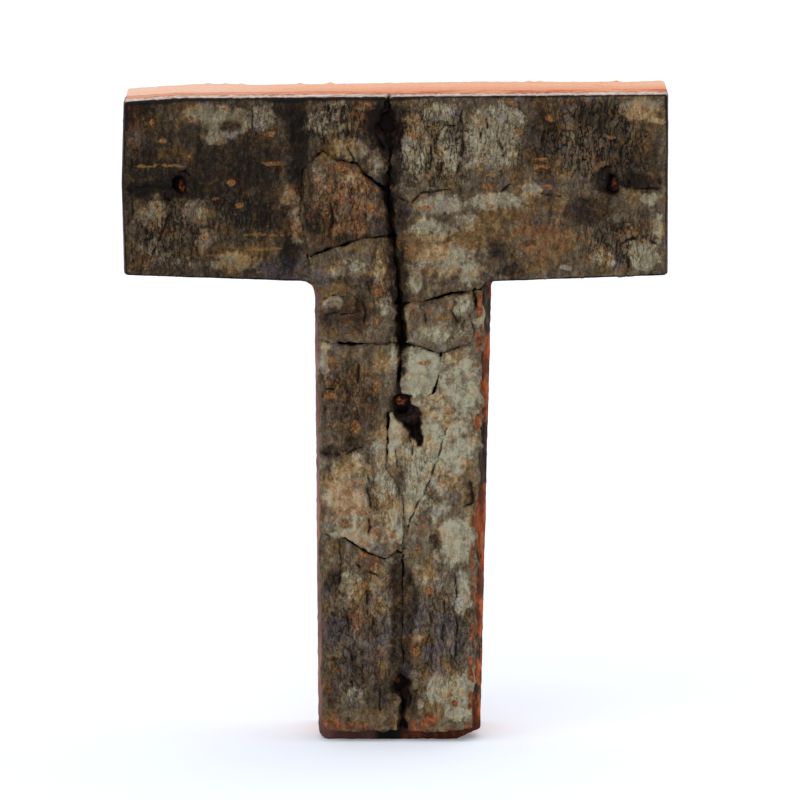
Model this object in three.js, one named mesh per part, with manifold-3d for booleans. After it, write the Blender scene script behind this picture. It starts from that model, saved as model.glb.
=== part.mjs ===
import * as THREE from "three";
import { mergeVertices } from "three/addons/utils/BufferGeometryUtils.js";
import Module from "manifold-3d";

// A rustic capital T, sawn from a slab of alder that keeps its bark. The wood is the letter's body, the
// orange inner bark covers its face, and the dry outer bark has cracked into plates held by five brads.
// Millimetres, +Z up. The letter stands on z = 0 and its bark faces -Y.

// Sizes of the sawn letter
const LETTER_HEIGHT = 70;
const LETTER_WIDTH = 58.4;
const BAR_HEIGHT = 20.3;           // depth of the bar where the stem meets it
const BAR_END_TAPER = 0.7;         // the bar is this much shallower at its two ends
const BAR_TOP_FALL = 0.4;          // the top is sawn a little lower towards the left
const BAR_LEFT_FALL = 0.8;         // and lower again at the left corner
const BAR_LEFT_RUN = 5.8;          // length of that last fall
const BAR_LEFT_BULGE = 0.25;       // the left end is sawn slightly round
const STEM_SHOULDER_WIDTH = 18.9;
const STEM_FOOT_WIDTH = 17.4;
const STEM_SHOULDER_SHIFT = 0.88;  // the stem's middle, right of the bar's middle, at the bar
const STEM_FOOT_SHIFT = 0.5;       // and at the foot
const FOOT_NICK_WIDTH = 2.5;       // the right corner of the foot is nicked away
const FOOT_NICK_HEIGHT = 1.2;
const OUTER_CORNER_RADIUS = 0.3;
const FOOT_CORNER_RADIUS = 1.2;
const LEFT_SHOULDER_RADIUS = 1.8;
const RIGHT_SHOULDER_RADIUS = 0.5;

// Thicknesses, from the back of the letter to its face
const WOOD_THICKNESS = 9.5;
const INNER_BARK_THICKNESS = 3;
const OUTER_BARK_THICKNESS = 2.5;
const PLATE_STEP = 0.35;           // a sunken plate lies this far behind its proud neighbours
const EDGE_BEVEL = 0.2;            // worn edge of the bark

// How far the outer bark has chipped back from each sawn edge
const CHIP_TOP = 0.1;
const CHIP_END = 0.15;
const CHIP_UNDERSIDE = 0.1;
const CHIP_STEM_LEFT = 0.4;
const CHIP_STEM_RIGHT = 0.9;
const CHIP_FOOT = 1.2;

// Cracks between the plates, wider at the face than at the root
const FISSURE_WIDTH = 1.2;
const CRACK_WIDTH = 0.6;
const HAIRLINE_WIDTH = 0.4;
const CRACK_ROOT = 0.3;

// Brads, driven below the face of the bark
const BRAD_HEAD_DIAMETER = 2.2;
const BRAD_HEAD_THICKNESS = 0.5;
const BRAD_SHANK_DIAMETER = 1.2;
const BRAD_POINT_LENGTH = 1.6;
const BRAD_SINK = 1.5;             // from the face of the bark to the top of the head
const BRAD_BACK_COVER = 3;         // wood left behind the point
const BRAD_CLEARANCE = 0.1;
const PIT_FLARE = 0.5;             // the torn pit round a head is this much wider at the face
const BRAD_SEGMENTS = 20;

const CORNER_SEGMENTS = 5;
const BEYOND = 10;                 // cutters run this far past the letter
const MERGE_DISTANCE = 1e-5;       // corners of one mesh closer than this are one corner

const backPlane = (WOOD_THICKNESS + INNER_BARK_THICKNESS + OUTER_BARK_THICKNESS) / 2;
const woodFace = backPlane - WOOD_THICKNESS;
const innerFace = woodFace - INNER_BARK_THICKNESS;
const barkFace = innerFace - OUTER_BARK_THICKNESS;
const shoulder = LETTER_HEIGHT - BAR_HEIGHT;

const wasm = await Module();
wasm.setup();

function solidFrom(geometry) {
  geometry.deleteAttribute("normal");
  geometry.deleteAttribute("uv");
  const merged = mergeVertices(geometry, MERGE_DISTANCE);
  return new wasm.Manifold(new wasm.Mesh({
    numProp: 3,
    vertProperties: new Float32Array(merged.attributes.position.array),
    triVerts: new Uint32Array(merged.index.array),
  }));
}

function geometryFrom(solid) {
  const mesh = solid.getMesh();
  const geometry = new THREE.BufferGeometry();
  geometry.setAttribute("position", new THREE.BufferAttribute(new Float32Array(mesh.vertProperties), 3));
  geometry.setIndex(new THREE.BufferAttribute(new Uint32Array(mesh.triVerts), 1));
  geometry.computeVertexNormals();
  return geometry;
}

// The letter's outline seen from the front, corner by corner, each corner rounded to its own radius.
// The chips say how far each edge lies inside the sawn edge.
function letterOutline(chip) {
  const left = -LETTER_WIDTH / 2 + chip.end;
  const right = LETTER_WIDTH / 2 - chip.end;
  const top = LETTER_HEIGHT - chip.top;
  const barEnd = shoulder + BAR_END_TAPER + chip.underside;
  const barRoot = shoulder + chip.underside;
  const shoulderLeft = STEM_SHOULDER_SHIFT - STEM_SHOULDER_WIDTH / 2 + chip.stemLeft;
  const shoulderRight = STEM_SHOULDER_SHIFT + STEM_SHOULDER_WIDTH / 2 - chip.stemRight;
  const footLeft = STEM_FOOT_SHIFT - STEM_FOOT_WIDTH / 2 + chip.stemLeft;
  const footRight = STEM_FOOT_SHIFT + STEM_FOOT_WIDTH / 2 - chip.stemRight;
  const nickHeight = Math.max(FOOT_NICK_HEIGHT, chip.foot);
  return roundedShape([
    [footLeft, chip.foot, FOOT_CORNER_RADIUS],
    [footRight - FOOT_NICK_WIDTH, chip.foot, 0],
    [footRight, nickHeight + chip.underside, 0],
    [shoulderRight, barRoot, RIGHT_SHOULDER_RADIUS],
    [right, barEnd, OUTER_CORNER_RADIUS],
    [right, top, OUTER_CORNER_RADIUS],
    [left + BAR_LEFT_RUN, top - BAR_TOP_FALL, 0],
    [left + BAR_LEFT_BULGE, top - BAR_LEFT_FALL, OUTER_CORNER_RADIUS],
    [left, (top + barEnd) / 2, 0],
    [left + BAR_LEFT_BULGE, barEnd, OUTER_CORNER_RADIUS],
    [shoulderLeft, barRoot, LEFT_SHOULDER_RADIUS],
  ]);
}

function roundedShape(corners) {
  const shape = new THREE.Shape();
  corners.forEach(([x, z, radius], index) => {
    const corner = new THREE.Vector2(x, z);
    const before = new THREE.Vector2(...corners.at(index - 1));
    const after = new THREE.Vector2(...corners[(index + 1) % corners.length]);
    const start = before.sub(corner).setLength(radius).add(corner);
    const end = after.sub(corner).setLength(radius).add(corner);
    if (index === 0) {
      shape.moveTo(start.x, start.y);
    } else {
      shape.lineTo(start.x, start.y);
    }
    if (radius > 0) {
      shape.quadraticCurveTo(corner.x, corner.y, end.x, end.y);
    }
  });
  shape.closePath();
  return shape;
}

// A layer of the slab: the outline from one depth to another, its front edge bevelled when asked for
function layer(outline, back, face, bevel) {
  const geometry = new THREE.ExtrudeGeometry(outline, {
    depth: back - face - bevel,
    curveSegments: CORNER_SEGMENTS,
    bevelEnabled: bevel > 0,
    bevelThickness: bevel,
    bevelSize: bevel,
    bevelOffset: -bevel,
    bevelSegments: 1,
  });
  geometry.rotateX(Math.PI / 2);
  geometry.translate(0, back, 0);
  const body = solidFrom(geometry);
  if (bevel === 0) {
    return body;
  }
  const trim = new THREE.BoxGeometry(2 * LETTER_WIDTH, BEYOND, 2 * LETTER_HEIGHT);
  trim.translate(0, back + BEYOND / 2, LETTER_HEIGHT / 2);
  return body.subtract(solidFrom(trim));
}

// A point on the bar: across from -1 to 1, up from its underside (0) to its top (1)
function onBar(across, up) {
  return [across * LETTER_WIDTH / 2, shoulder + up * BAR_HEIGHT];
}

// A point on the stem: across from -1 to 1, up from the floor (0) to the bar (1)
function onStem(across, up) {
  const middle = THREE.MathUtils.lerp(STEM_FOOT_SHIFT, STEM_SHOULDER_SHIFT, up);
  const width = THREE.MathUtils.lerp(STEM_FOOT_WIDTH, STEM_SHOULDER_WIDTH, up);
  return [middle + across * width / 2, up * shoulder];
}

// The long fissure down the middle, in stretches between the cracks that meet it
const fissureTop = onBar(-0.03, 1.3);
const fissureAtArc = onBar(-0.025, 0.487);
const fissureAtBarFoot = onBar(-0.006, 0.247);
const fissureAtShoulder = onStem(-0.032, 0.955);
const fissureAtWaist = onStem(-0.006, 0.87);
const fissureAtBrad = onStem(0.011, 0.737);
const fissureAtKnee = onStem(0.024, 0.425);
const fissureFoot = onStem(0.044, -0.15);
const fissureBar = [fissureTop, onBar(-0.014, 0.701), fissureAtArc];
const fissureNeck = [fissureAtArc, fissureAtBarFoot];
const fissureRoot = [fissureAtBarFoot, onBar(0.012, 0.017), fissureAtShoulder];
const fissureChest = [fissureAtShoulder, fissureAtWaist];
const fissureSide = [fissureAtWaist, onStem(-0.037, 0.785), fissureAtBrad];
const fissureBelly = [fissureAtBrad, onStem(-0.162, 0.72), onStem(-0.16, 0.66), onStem(-0.182, 0.599),
  onStem(-0.04, 0.557), onStem(0.032, 0.512), fissureAtKnee];
const fissureLeg = [fissureAtKnee, onStem(0.018, 0.305), onStem(0.039, 0.109), fissureFoot];

// Cracks that run from the fissure to the letter's edges or back to another crack
const arcEnd = onBar(-0.314, 0.14);
const arcCrack = [fissureAtArc, onBar(-0.109, 0.573), onBar(-0.138, 0.637), onBar(-0.212, 0.647),
  onBar(-0.266, 0.701), onBar(-0.332, 0.594), onBar(-0.351, 0.354), arcEnd];
const barFootCrack = [fissureAtBarFoot, onBar(-0.109, 0.236), onBar(-0.182, 0.204), arcEnd];
const leftShoulderCrack = [arcEnd, onStem(-1.06, 1.03), onStem(-1.12, 0.9)];
const leftWaistCrack = [fissureAtWaist, onStem(-0.28, 0.87), onStem(-0.658, 0.868), onStem(-1.4, 0.88)];
const leftKneeCrack = [fissureAtKnee, onStem(-0.176, 0.399), onStem(-0.39, 0.414), onStem(-0.663, 0.445),
  onStem(-1.4, 0.475)];
const splinterTop = onStem(0.805, 0.985);
const rightShoulderCrack = [fissureAtShoulder, onStem(0.252, 0.961), onStem(0.557, 0.979), splinterTop];
const rightShoulderEnd = [splinterTop, onStem(1.4, 1)];
const paleCorner = onStem(0.442, 0.846);
const paleTopCrack = [fissureAtWaist, onStem(0.109, 0.865), paleCorner];
const splinterCrack = [paleCorner, onStem(0.601, 0.857), onStem(0.794, 0.872), onStem(0.826, 0.898),
  onStem(0.754, 0.929), onStem(0.844, 0.946), splinterTop];
const paleSideCrack = [paleCorner, onStem(0.423, 0.796), onStem(0.356, 0.759), onStem(0.207, 0.746),
  fissureAtBrad];

const fissures = [fissureBar, fissureNeck, fissureRoot, fissureChest, fissureLeg];
const cracks = [fissureSide, arcCrack, barFootCrack, leftWaistCrack, rightShoulderCrack, rightShoulderEnd,
  paleTopCrack];
const hairlines = [fissureBelly, leftShoulderCrack, leftKneeCrack, splinterCrack, paleSideCrack];

// Corners well outside the letter, which close the outer plates' ground
const farLeftTop = onBar(-1.3, 1.3);
const farLeftLow = onBar(-1.3, -0.25);
const farRightTop = onBar(1.3, 1.3);
const farRightLow = onBar(1.3, -0.25);
const farStemRight = onStem(1.4, 0.9);
const farFootLeft = onStem(-1.4, -0.15);
const farFootRight = onStem(1.4, -0.15);

// Each plate's ground is the ring of cracks round it, walked in one direction
const back = (line) => [...line].reverse();
const plates = [
  { name: "bark_left_arm", steps: 1, ground: [fissureBar, arcCrack, leftShoulderCrack, [farLeftLow, farLeftTop]] },
  { name: "bark_bar_centre", steps: 0, ground: [fissureNeck, barFootCrack, back(arcCrack)] },
  {
    name: "bark_right_arm",
    steps: 1,
    ground: [fissureBar, fissureNeck, fissureRoot, rightShoulderCrack, rightShoulderEnd, [farRightLow, farRightTop]],
  },
  {
    name: "bark_stem_upper_left",
    steps: 1,
    ground: [fissureRoot, fissureChest, leftWaistCrack, back(leftShoulderCrack), back(barFootCrack)],
  },
  {
    name: "bark_stem_middle_left",
    steps: 0,
    ground: [fissureSide, fissureBelly, leftKneeCrack, back(leftWaistCrack)],
  },
  { name: "bark_stem_lower_left", steps: 1, ground: [fissureLeg, [farFootLeft], back(leftKneeCrack)] },
  {
    name: "bark_stem_upper_right",
    steps: 0,
    ground: [fissureChest, paleTopCrack, splinterCrack, back(rightShoulderCrack)],
  },
  { name: "bark_stem_pale_plate", steps: 1, ground: [fissureSide, back(paleSideCrack), back(paleTopCrack)] },
  {
    name: "bark_stem_right",
    steps: 1,
    ground: [fissureBelly, fissureLeg, [farFootRight, farStemRight], back(rightShoulderEnd), back(splinterCrack),
      paleSideCrack],
  },
];

// The direction in which a line runs into one of its points
function directionOf(points, index) {
  return points[index].clone().sub(points[index - 1]).normalize();
}

// A crack's cutting blade follows its line and tapers from the face of the bark to its root
function blade(line, width) {
  const points = line.map((point) => new THREE.Vector2(...point));
  const left = [];
  const right = [];
  const last = points.length - 1;
  points.forEach((point, index) => {
    const arriving = directionOf(points, Math.max(index, 1));
    const leaving = directionOf(points, Math.min(index + 1, last));
    const along = arriving.clone().add(leaving).normalize();
    const mitre = width / 2 / along.dot(leaving);
    const side = new THREE.Vector2(-along.y, along.x).multiplyScalar(mitre);
    const overrun = { 0: -width / 2, [last]: width / 2 }[index] ?? 0;
    const centre = point.clone().addScaledVector(along, overrun);
    left.push(centre.clone().add(side));
    right.unshift(centre.clone().sub(side));
  });
  const taper = Math.max(width - CRACK_ROOT, 0) / 2;
  const geometry = new THREE.ExtrudeGeometry(new THREE.Shape([...left, ...right]), {
    depth: BEYOND,
    bevelThickness: OUTER_BARK_THICKNESS,
    bevelSize: taper,
    bevelOffset: -taper,
    bevelSegments: 1,
  });
  geometry.rotateX(Math.PI / 2);
  geometry.translate(0, barkFace, 0);
  return solidFrom(geometry);
}

// A body turned about a brad's axis, from radius and depth pairs that begin and end on the axis
function turned(profile, [x, z]) {
  const geometry = new THREE.LatheGeometry(profile.map((point) => new THREE.Vector2(...point)), BRAD_SEGMENTS);
  geometry.translate(x, 0, z);
  return solidFrom(geometry);
}

const headTop = barkFace + BRAD_SINK;
const headSeat = headTop + BRAD_HEAD_THICKNESS;
const pointEnd = backPlane - BRAD_BACK_COVER;
const headRadius = BRAD_HEAD_DIAMETER / 2;
const shankRadius = BRAD_SHANK_DIAMETER / 2;
const brads = [
  { name: "brad_left_arm", at: onBar(-0.787, 0.503) },
  { name: "brad_right_arm", at: onBar(0.796, 0.53) },
  { name: "brad_top", at: onBar(-0.021, 0.85) },
  { name: "brad_stem", at: fissureAtBrad },
  { name: "brad_foot", at: onStem(0.026, 0.129) },
];

function bradBody(at) {
  return turned([
    [0, headTop],
    [headRadius, headTop],
    [headRadius, headSeat],
    [shankRadius, headSeat],
    [shankRadius, pointEnd - BRAD_POINT_LENGTH],
    [0, pointEnd],
  ], at);
}

// The room a brad needs in the bark and the wood: a torn pit, a pocket for the head and a pilot hole
function bradRoom(at) {
  const pocketRadius = headRadius + BRAD_CLEARANCE;
  const holeRadius = shankRadius + BRAD_CLEARANCE;
  const flarePerDepth = PIT_FLARE / BRAD_SINK;
  return turned([
    [0, barkFace - BEYOND],
    [pocketRadius + PIT_FLARE + BEYOND * flarePerDepth, barkFace - BEYOND],
    [pocketRadius, headTop],
    [pocketRadius, headSeat],
    [holeRadius, headSeat],
    [holeRadius, pointEnd - BRAD_POINT_LENGTH],
    [0, pointEnd + BRAD_CLEARANCE],
  ], at);
}

const blades = [
  ...fissures.map((line) => blade(line, FISSURE_WIDTH)),
  ...cracks.map((line) => blade(line, CRACK_WIDTH)),
  ...hairlines.map((line) => blade(line, HAIRLINE_WIDTH)),
];
const bradRooms = brads.map((brad) => bradRoom(brad.at));
const cutBy = (body, cutters) => cutters.reduce((rest, cutter) => rest.subtract(cutter), body);

const woodMaterial = new THREE.MeshStandardMaterial({ name: "alder_wood", color: 0xe0a878, roughness: 0.7 });
const innerMaterial = new THREE.MeshStandardMaterial({ name: "inner_bark", color: 0xa85c30, roughness: 0.8 });
const barkMaterial = new THREE.MeshStandardMaterial({ name: "outer_bark", color: 0x5a5042, roughness: 0.6 });
const bradMaterial = new THREE.MeshStandardMaterial({ name: "brad_steel", color: 0x4a3a32, roughness: 0.5 });
bradMaterial.metalness = 0.8;

const letter = new THREE.Group();
letter.name = "bark_letter_t";

function addPiece(name, solid, material) {
  const mesh = new THREE.Mesh(geometryFrom(solid), material);
  mesh.name = name;
  letter.add(mesh);
}

const sawnEdge = { top: 0, end: 0, underside: 0, stemLeft: 0, stemRight: 0, foot: 0 };
const sawnOutline = letterOutline(sawnEdge);
const woodBlank = layer(sawnOutline, backPlane, woodFace, 0);
const innerBlank = layer(sawnOutline, woodFace, innerFace, EDGE_BEVEL);
addPiece("wood_core", cutBy(woodBlank, bradRooms), woodMaterial);
addPiece("inner_bark", cutBy(innerBlank, bradRooms), innerMaterial);

const chippedOutline = letterOutline({
  top: CHIP_TOP,
  end: CHIP_END,
  underside: CHIP_UNDERSIDE,
  stemLeft: CHIP_STEM_LEFT,
  stemRight: CHIP_STEM_RIGHT,
  foot: CHIP_FOOT,
});
for (const plate of plates) {
  const face = barkFace + plate.steps * PLATE_STEP;
  const ground = new THREE.Shape(plate.ground.flat().map((point) => new THREE.Vector2(...point)));
  const prism = layer(ground, innerFace + BEYOND, barkFace - BEYOND, 0);
  const bark = layer(chippedOutline, innerFace, face, EDGE_BEVEL).intersect(prism);
  addPiece(plate.name, cutBy(cutBy(bark, blades), bradRooms), barkMaterial);
}

for (const brad of brads) {
  addPiece(brad.name, bradBody(brad.at), bradMaterial);
}

export default letter;
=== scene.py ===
import math
from collections import Counter
from itertools import product

import bmesh
import bpy
import numpy as np
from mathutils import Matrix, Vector
from mathutils.bvhtree import BVHTree


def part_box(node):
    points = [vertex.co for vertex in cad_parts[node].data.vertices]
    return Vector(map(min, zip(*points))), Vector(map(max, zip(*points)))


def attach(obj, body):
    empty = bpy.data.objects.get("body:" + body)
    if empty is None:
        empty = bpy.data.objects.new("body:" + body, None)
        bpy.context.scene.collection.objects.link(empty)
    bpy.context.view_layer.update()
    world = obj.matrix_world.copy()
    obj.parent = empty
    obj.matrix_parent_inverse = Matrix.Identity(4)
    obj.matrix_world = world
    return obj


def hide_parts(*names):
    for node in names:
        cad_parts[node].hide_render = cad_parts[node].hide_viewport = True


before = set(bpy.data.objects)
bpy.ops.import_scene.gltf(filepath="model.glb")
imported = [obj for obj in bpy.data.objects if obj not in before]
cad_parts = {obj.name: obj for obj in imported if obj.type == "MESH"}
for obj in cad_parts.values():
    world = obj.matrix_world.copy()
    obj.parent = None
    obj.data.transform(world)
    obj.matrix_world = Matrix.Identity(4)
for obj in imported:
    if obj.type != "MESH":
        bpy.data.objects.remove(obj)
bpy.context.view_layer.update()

# The wood body is a letter T sawn out of a flat alder board on a bandsaw and left unsanded. Its growth rings
# bow across the top and the foot and its grain runs out in arches on the back. The blades left fine lines on
# every cut, and a few burrs of torn fibre stand on the back edge of the top.
MM = 0.001
WOOD_SKIN = 0.28                   # size of the small faces that the wood is carved in
SAW_LINE_PITCH = 0.45              # fine lines of the blade that cut the outline, across the thickness
SAW_LINE_DEPTH = 0.03
SAW_LINE_SLANT = 0.02
SAW_WAVE_PITCH = 5.0               # slow waver of the hand that pushed the board
SAW_WAVE_DEPTH = 0.07
MILL_LINE_PITCH = 1.3              # lines of the mill saw across the back
MILL_LINE_DEPTH = 0.04
MILL_LINE_SLANT = 0.06
MILL_LINE_WANDER = 0.03
SIDE_TILT = (0.875, 0.25)          # tilts to the front or back that make a face no side cut, or a full one
BACK_TILT = (0.667, 1.0)
BURR_SPOTS = (-20.1, -18.3, -16.6, -10.2, -7.0, 14.5, 15.7, 23.9)
BURR_WIDTH = 0.3
BURR_REACH = 0.9                   # how far a burr runs forward from the back edge
BURR_HEIGHT = 0.22
BURR_TOP_REACH = 1.2
PITH = (-5.0, 95.0, 0.0)           # the middle of the tree that the board came from
TRUNK_LEAN = 0.09                  # the tree leaned off the saw, so the rings run out in arches on the back
RING_WIDTH = 1.7
RING_BOW = 2.0
STAINED_DEPTH = 7.0                # the wood is more orange this far in from the bark
PALE_LEFT = (-22.0, -6.0)          # and paler at the left end of the bar, between these two x
LEAST_ORANGE = 0.3

LATTICE = 256
lattice_order = np.random.default_rng(7).permutation(LATTICE)
lattice_heights = np.random.default_rng(8).uniform(-1, 1, LATTICE)
SEED_STEP = 37                     # apart in the lattice, so that two seeds give unlike lumps
EDGE_TOLERANCE = 0.01
JOINT_REACH = 0.3                  # how near to a joint between two layers an edge is drawn flush
LEAST_STEEPNESS = 0.2


def even_skin(node, face_size):
    """A copy of a CAD piece under small even faces, to be carved. It stands for the CAD piece."""
    piece = bpy.data.objects.new(node + "_carved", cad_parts[node].data.copy())
    bpy.context.scene.collection.objects.link(piece)
    remesh = piece.modifiers.new("even_skin", "REMESH")
    remesh.mode = "VOXEL"
    remesh.voxel_size = face_size * MM
    seen = piece.evaluated_get(bpy.context.evaluated_depsgraph_get())
    skin = bpy.data.meshes.new_from_object(seen)
    piece.modifiers.clear()
    piece.data = skin
    skin.materials.clear()
    skin.shade_smooth()
    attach(piece, "root")
    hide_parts(node)
    return piece


def points_of(piece):
    """The corners of a piece's faces, in mm."""
    flat = np.empty(3 * len(piece.data.vertices))
    piece.data.vertices.foreach_get("co", flat)
    return flat.reshape(-1, 3) / MM


def normals_of(piece):
    flat = np.empty(3 * len(piece.data.vertices))
    piece.data.vertex_normals.foreach_get("vector", flat)
    return flat.reshape(-1, 3)


def carve(piece, points):
    piece.data.vertices.foreach_set("co", (points * MM).ravel())
    piece.data.update()


def paint(piece, name, values):
    """Gives every corner of a piece a number that its finish can read."""
    layer = piece.data.attributes.new(name, "FLOAT", "POINT")
    layer.data.foreach_set("value", np.ascontiguousarray(values, dtype=np.float32))


def lumps(points, cell, seed):
    """Smooth random lumps from -1 to 1. The cell is a lump's width, depth and height in mm."""
    scaled = points / np.asarray(cell, dtype=float) + seed * SEED_STEP
    low = np.floor(scaled).astype(int)
    ease = scaled - low
    ease = ease * ease * (3 - 2 * ease)
    total = np.zeros(len(points))
    for corner in product((0, 1), repeat=3):
        share = np.where(corner, ease, 1 - ease).prod(axis=1)
        key = np.zeros(len(points), dtype=int)
        for axis in range(3):
            key = lattice_order[(key + low[:, axis] + corner[axis]) % LATTICE]
        total += share * lattice_heights[key]
    return total


def grown(points, cell, seed, octaves=3):
    """Lumps that carry smaller lumps, as on anything grown or torn."""
    total = np.zeros(len(points))
    for octave in range(octaves):
        smaller = 2 ** octave
        total += lumps(points, np.asarray(cell) / smaller, seed + octave) / smaller
    return total


def faded(values, none, full):
    """0 up to the first mark and 1 beyond the second, with a soft run between."""
    share = np.clip((values - none) / (full - none), 0, 1)
    return share * share * (3 - 2 * share)


def tone(red, green, blue):
    """A colour as a paint chart gives it, 0 to 255, as the shader's linear light."""
    shares = (red / 255, green / 255, blue / 255)
    return tuple(s / 12.92 if s <= 0.04045 else ((s + 0.055) / 1.055) ** 2.4 for s in shares) + (1.0,)


class Finish:
    """A material in the making, with short calls for the nodes that these finishes are made of."""

    def __init__(self, name):
        self.material = bpy.data.materials.new(name)
        self.material.use_nodes = True
        self.tree = self.material.node_tree
        self.shader = self.tree.nodes["Principled BSDF"]

    def set(self, **sockets):
        for name, value in sockets.items():
            self.feed(self.shader.inputs[name.replace("_", " ").title().replace("Ior", "IOR")], value)

    def feed(self, socket, value):
        if isinstance(value, bpy.types.NodeSocket):
            self.tree.links.new(value, socket)
        else:
            socket.default_value = value

    def node(self, kind, inputs, output=0, **settings):
        made = self.tree.nodes.new(kind)
        for name, value in settings.items():
            setattr(made, name, value)
        for name, value in inputs.items():
            self.feed(made.inputs[name], value)
        return made.outputs[output]

    def place(self):
        """Where a point lies on the letter, in mm."""
        spot = self.node("ShaderNodeTexCoord", {}, "Object")
        return self.node("ShaderNodeVectorMath", {0: spot, "Scale": 1 / MM}, operation="SCALE")

    def grain(self, place, cell, detail=3.0, rough=0.55, shift=0.0):
        """Noise from 0 to 1 in cells of a width, depth and height in mm."""
        per_mm = tuple(1 / size for size in cell)
        stretched = self.node("ShaderNodeVectorMath", {0: place, 1: per_mm, 2: (shift,) * 3},
                              operation="MULTIPLY_ADD")
        inputs = {"Vector": stretched, "Scale": 1.0, "Detail": detail, "Roughness": rough}
        return self.node("ShaderNodeTexNoise", inputs, "Fac")

    def bent(self, place, cell, reach):
        """The same place, pushed about by noise as far as the reach in mm."""
        push = self.node("ShaderNodeTexNoise", {"Vector": place, "Scale": 1 / cell, "Detail": 2.0}, "Color")
        centred = self.node("ShaderNodeVectorMath", {0: push, 1: (0.5, 0.5, 0.5)}, operation="SUBTRACT")
        inputs = {0: centred, 1: (2 * reach,) * 3, 2: place}
        return self.node("ShaderNodeVectorMath", inputs, operation="MULTIPLY_ADD")

    def painted(self, name):
        return self.node("ShaderNodeAttribute", {}, "Fac", attribute_name=name)

    def sum(self, operation, first, second=0.0, third=0.0):
        return self.node("ShaderNodeMath", {0: first, 1: second, 2: third}, operation=operation)

    def scaled(self, value, factor, offset=0.0):
        """A value times a factor, and an offset on top."""
        return self.sum("MULTIPLY_ADD", value, factor, offset)

    def between(self, value, low, high):
        """0 below the low mark and 1 above the high one."""
        inputs = {"Value": value, "From Min": low, "From Max": high}
        return self.node("ShaderNodeMapRange", inputs, interpolation_type="SMOOTHSTEP")

    def tones(self, value, stops):
        """A run of colours along a value from 0 to 1. A stop is a position and the numbers of a tone."""
        ramp = self.tree.nodes.new("ShaderNodeValToRGB")
        self.feed(ramp.inputs[0], value)
        elements = ramp.color_ramp.elements
        for element, (position, *chart) in zip(elements, (stops[0], stops[-1])):
            element.position = position
            element.color = tone(*chart)
        for position, *chart in stops[1:-1]:
            elements.new(position).color = tone(*chart)
        return ramp.outputs[0]

    def over(self, under, share, top):
        """One colour laid over another by a share from 0 to 1."""
        mix = self.tree.nodes.new("ShaderNodeMix")
        mix.data_type = "RGBA"
        for index, value in zip((0, 6, 7), (share, under, top)):
            self.feed(mix.inputs[index], value)
        return mix.outputs[2]

    def coat(self, share, top, most=1.0):
        """Lays a colour over what the finish has so far, by a share from 0 to 1 times the most it covers."""
        self.colour = self.over(self.colour, self.scaled(share, most), top)

    def bump(self, height, depth, strength=1.0):
        """A surface raised by a height from 0 to 1, times a depth in mm."""
        inputs = {"Height": height, "Distance": depth * MM, "Strength": strength}
        return self.node("ShaderNodeBump", inputs)


def sawn_outline():
    """The straight stretches of the letter's sawn outline, as pairs of (x, z) points in mm."""
    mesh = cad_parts["wood_core"].data
    corners = np.array([vertex.co for vertex in mesh.vertices]) / MM
    back = corners[:, 1].max() - EDGE_TOLERANCE
    seen_from_front = [(round(x, 3), round(z, 3)) for x, y, z in corners]
    uses = Counter()
    for face in mesh.polygons:
        if corners[list(face.vertices), 1].min() > back:
            uses.update(frozenset(seen_from_front[corner] for corner in edge) for edge in face.edge_keys)
    return [tuple(edge) for edge, count in uses.items() if count == 1]


def gap_to(points, stretches):
    """How far each point lies, seen from the front, from the nearest of some straight stretches."""
    flat = points[:, [0, 2]]
    nearest = np.full(len(points), np.inf)
    for start, end in stretches:
        run = np.subtract(end, start)
        share = np.clip((flat - start) @ run / (run @ run), 0, 1)
        nearest = np.minimum(nearest, np.linalg.norm(flat - np.array(start) - share[:, None] * run, axis=1))
    return nearest


def level_outward(normals):
    """The level direction out of a surface at each point, and how steep it stands there, from 0 to 1."""
    level = normals * (1, 0, 1)
    steepness = np.linalg.norm(level, axis=1)
    return level / np.maximum(steepness, EDGE_TOLERANCE)[:, None], steepness


def sawn_flush(points, normals, joint):
    """Draws the bevel at a joint between two layers out to the saw cut, because one cut went through both."""
    outward, steepness = level_outward(normals)
    edge_gap = gap_to(points, outline)
    at_joint = (abs(points[:, 1] - joint) < JOINT_REACH) & (edge_gap < JOINT_REACH)
    at_joint &= steepness > LEAST_STEEPNESS
    return points + outward * (edge_gap * at_joint)[:, None]


outline = sawn_outline()
wood_body = even_skin("wood_core", WOOD_SKIN)
wood_points = points_of(wood_body)
wood_normals = normals_of(wood_body)
wood_low, wood_high = (np.array(corner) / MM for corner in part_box("wood_core"))
wood_points = sawn_flush(wood_points, wood_normals, wood_low[1])
wood_x, wood_y, wood_z = wood_points.T
sawn_edge = faded(abs(wood_normals[:, 1]), *SIDE_TILT)
along_cut = np.column_stack([wood_x + wood_z, SAW_LINE_SLANT * wood_y, np.zeros(len(wood_x))])
saw_marks = SAW_LINE_DEPTH * grown(along_cut, (SAW_LINE_PITCH, 1, 1), seed=1, octaves=2)
saw_marks += SAW_WAVE_DEPTH * lumps(along_cut, (SAW_WAVE_PITCH, 1, 1), seed=4)
across_back = wood_z + MILL_LINE_SLANT * wood_x
up_back = np.column_stack([MILL_LINE_WANDER * wood_x, np.zeros(len(wood_x)), across_back])
mill_marks = MILL_LINE_DEPTH * grown(up_back, (1, 1, MILL_LINE_PITCH), seed=5, octaves=2)
on_back = faded(wood_normals[:, 1], *BACK_TILT)
wood_carved = wood_points + wood_normals * (sawn_edge * saw_marks + on_back * mill_marks)[:, None]
near_back_edge = faded(wood_high[1] - wood_y, BURR_REACH, 0)
on_top = faded(wood_high[2] - wood_z, BURR_TOP_REACH, 0)
for spot in BURR_SPOTS:
    burr = np.exp(-((wood_x - spot) / BURR_WIDTH) ** 2) * near_back_edge * on_top
    wood_carved[:, 2] += BURR_HEIGHT * burr
carve(wood_body, wood_carved)
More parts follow.
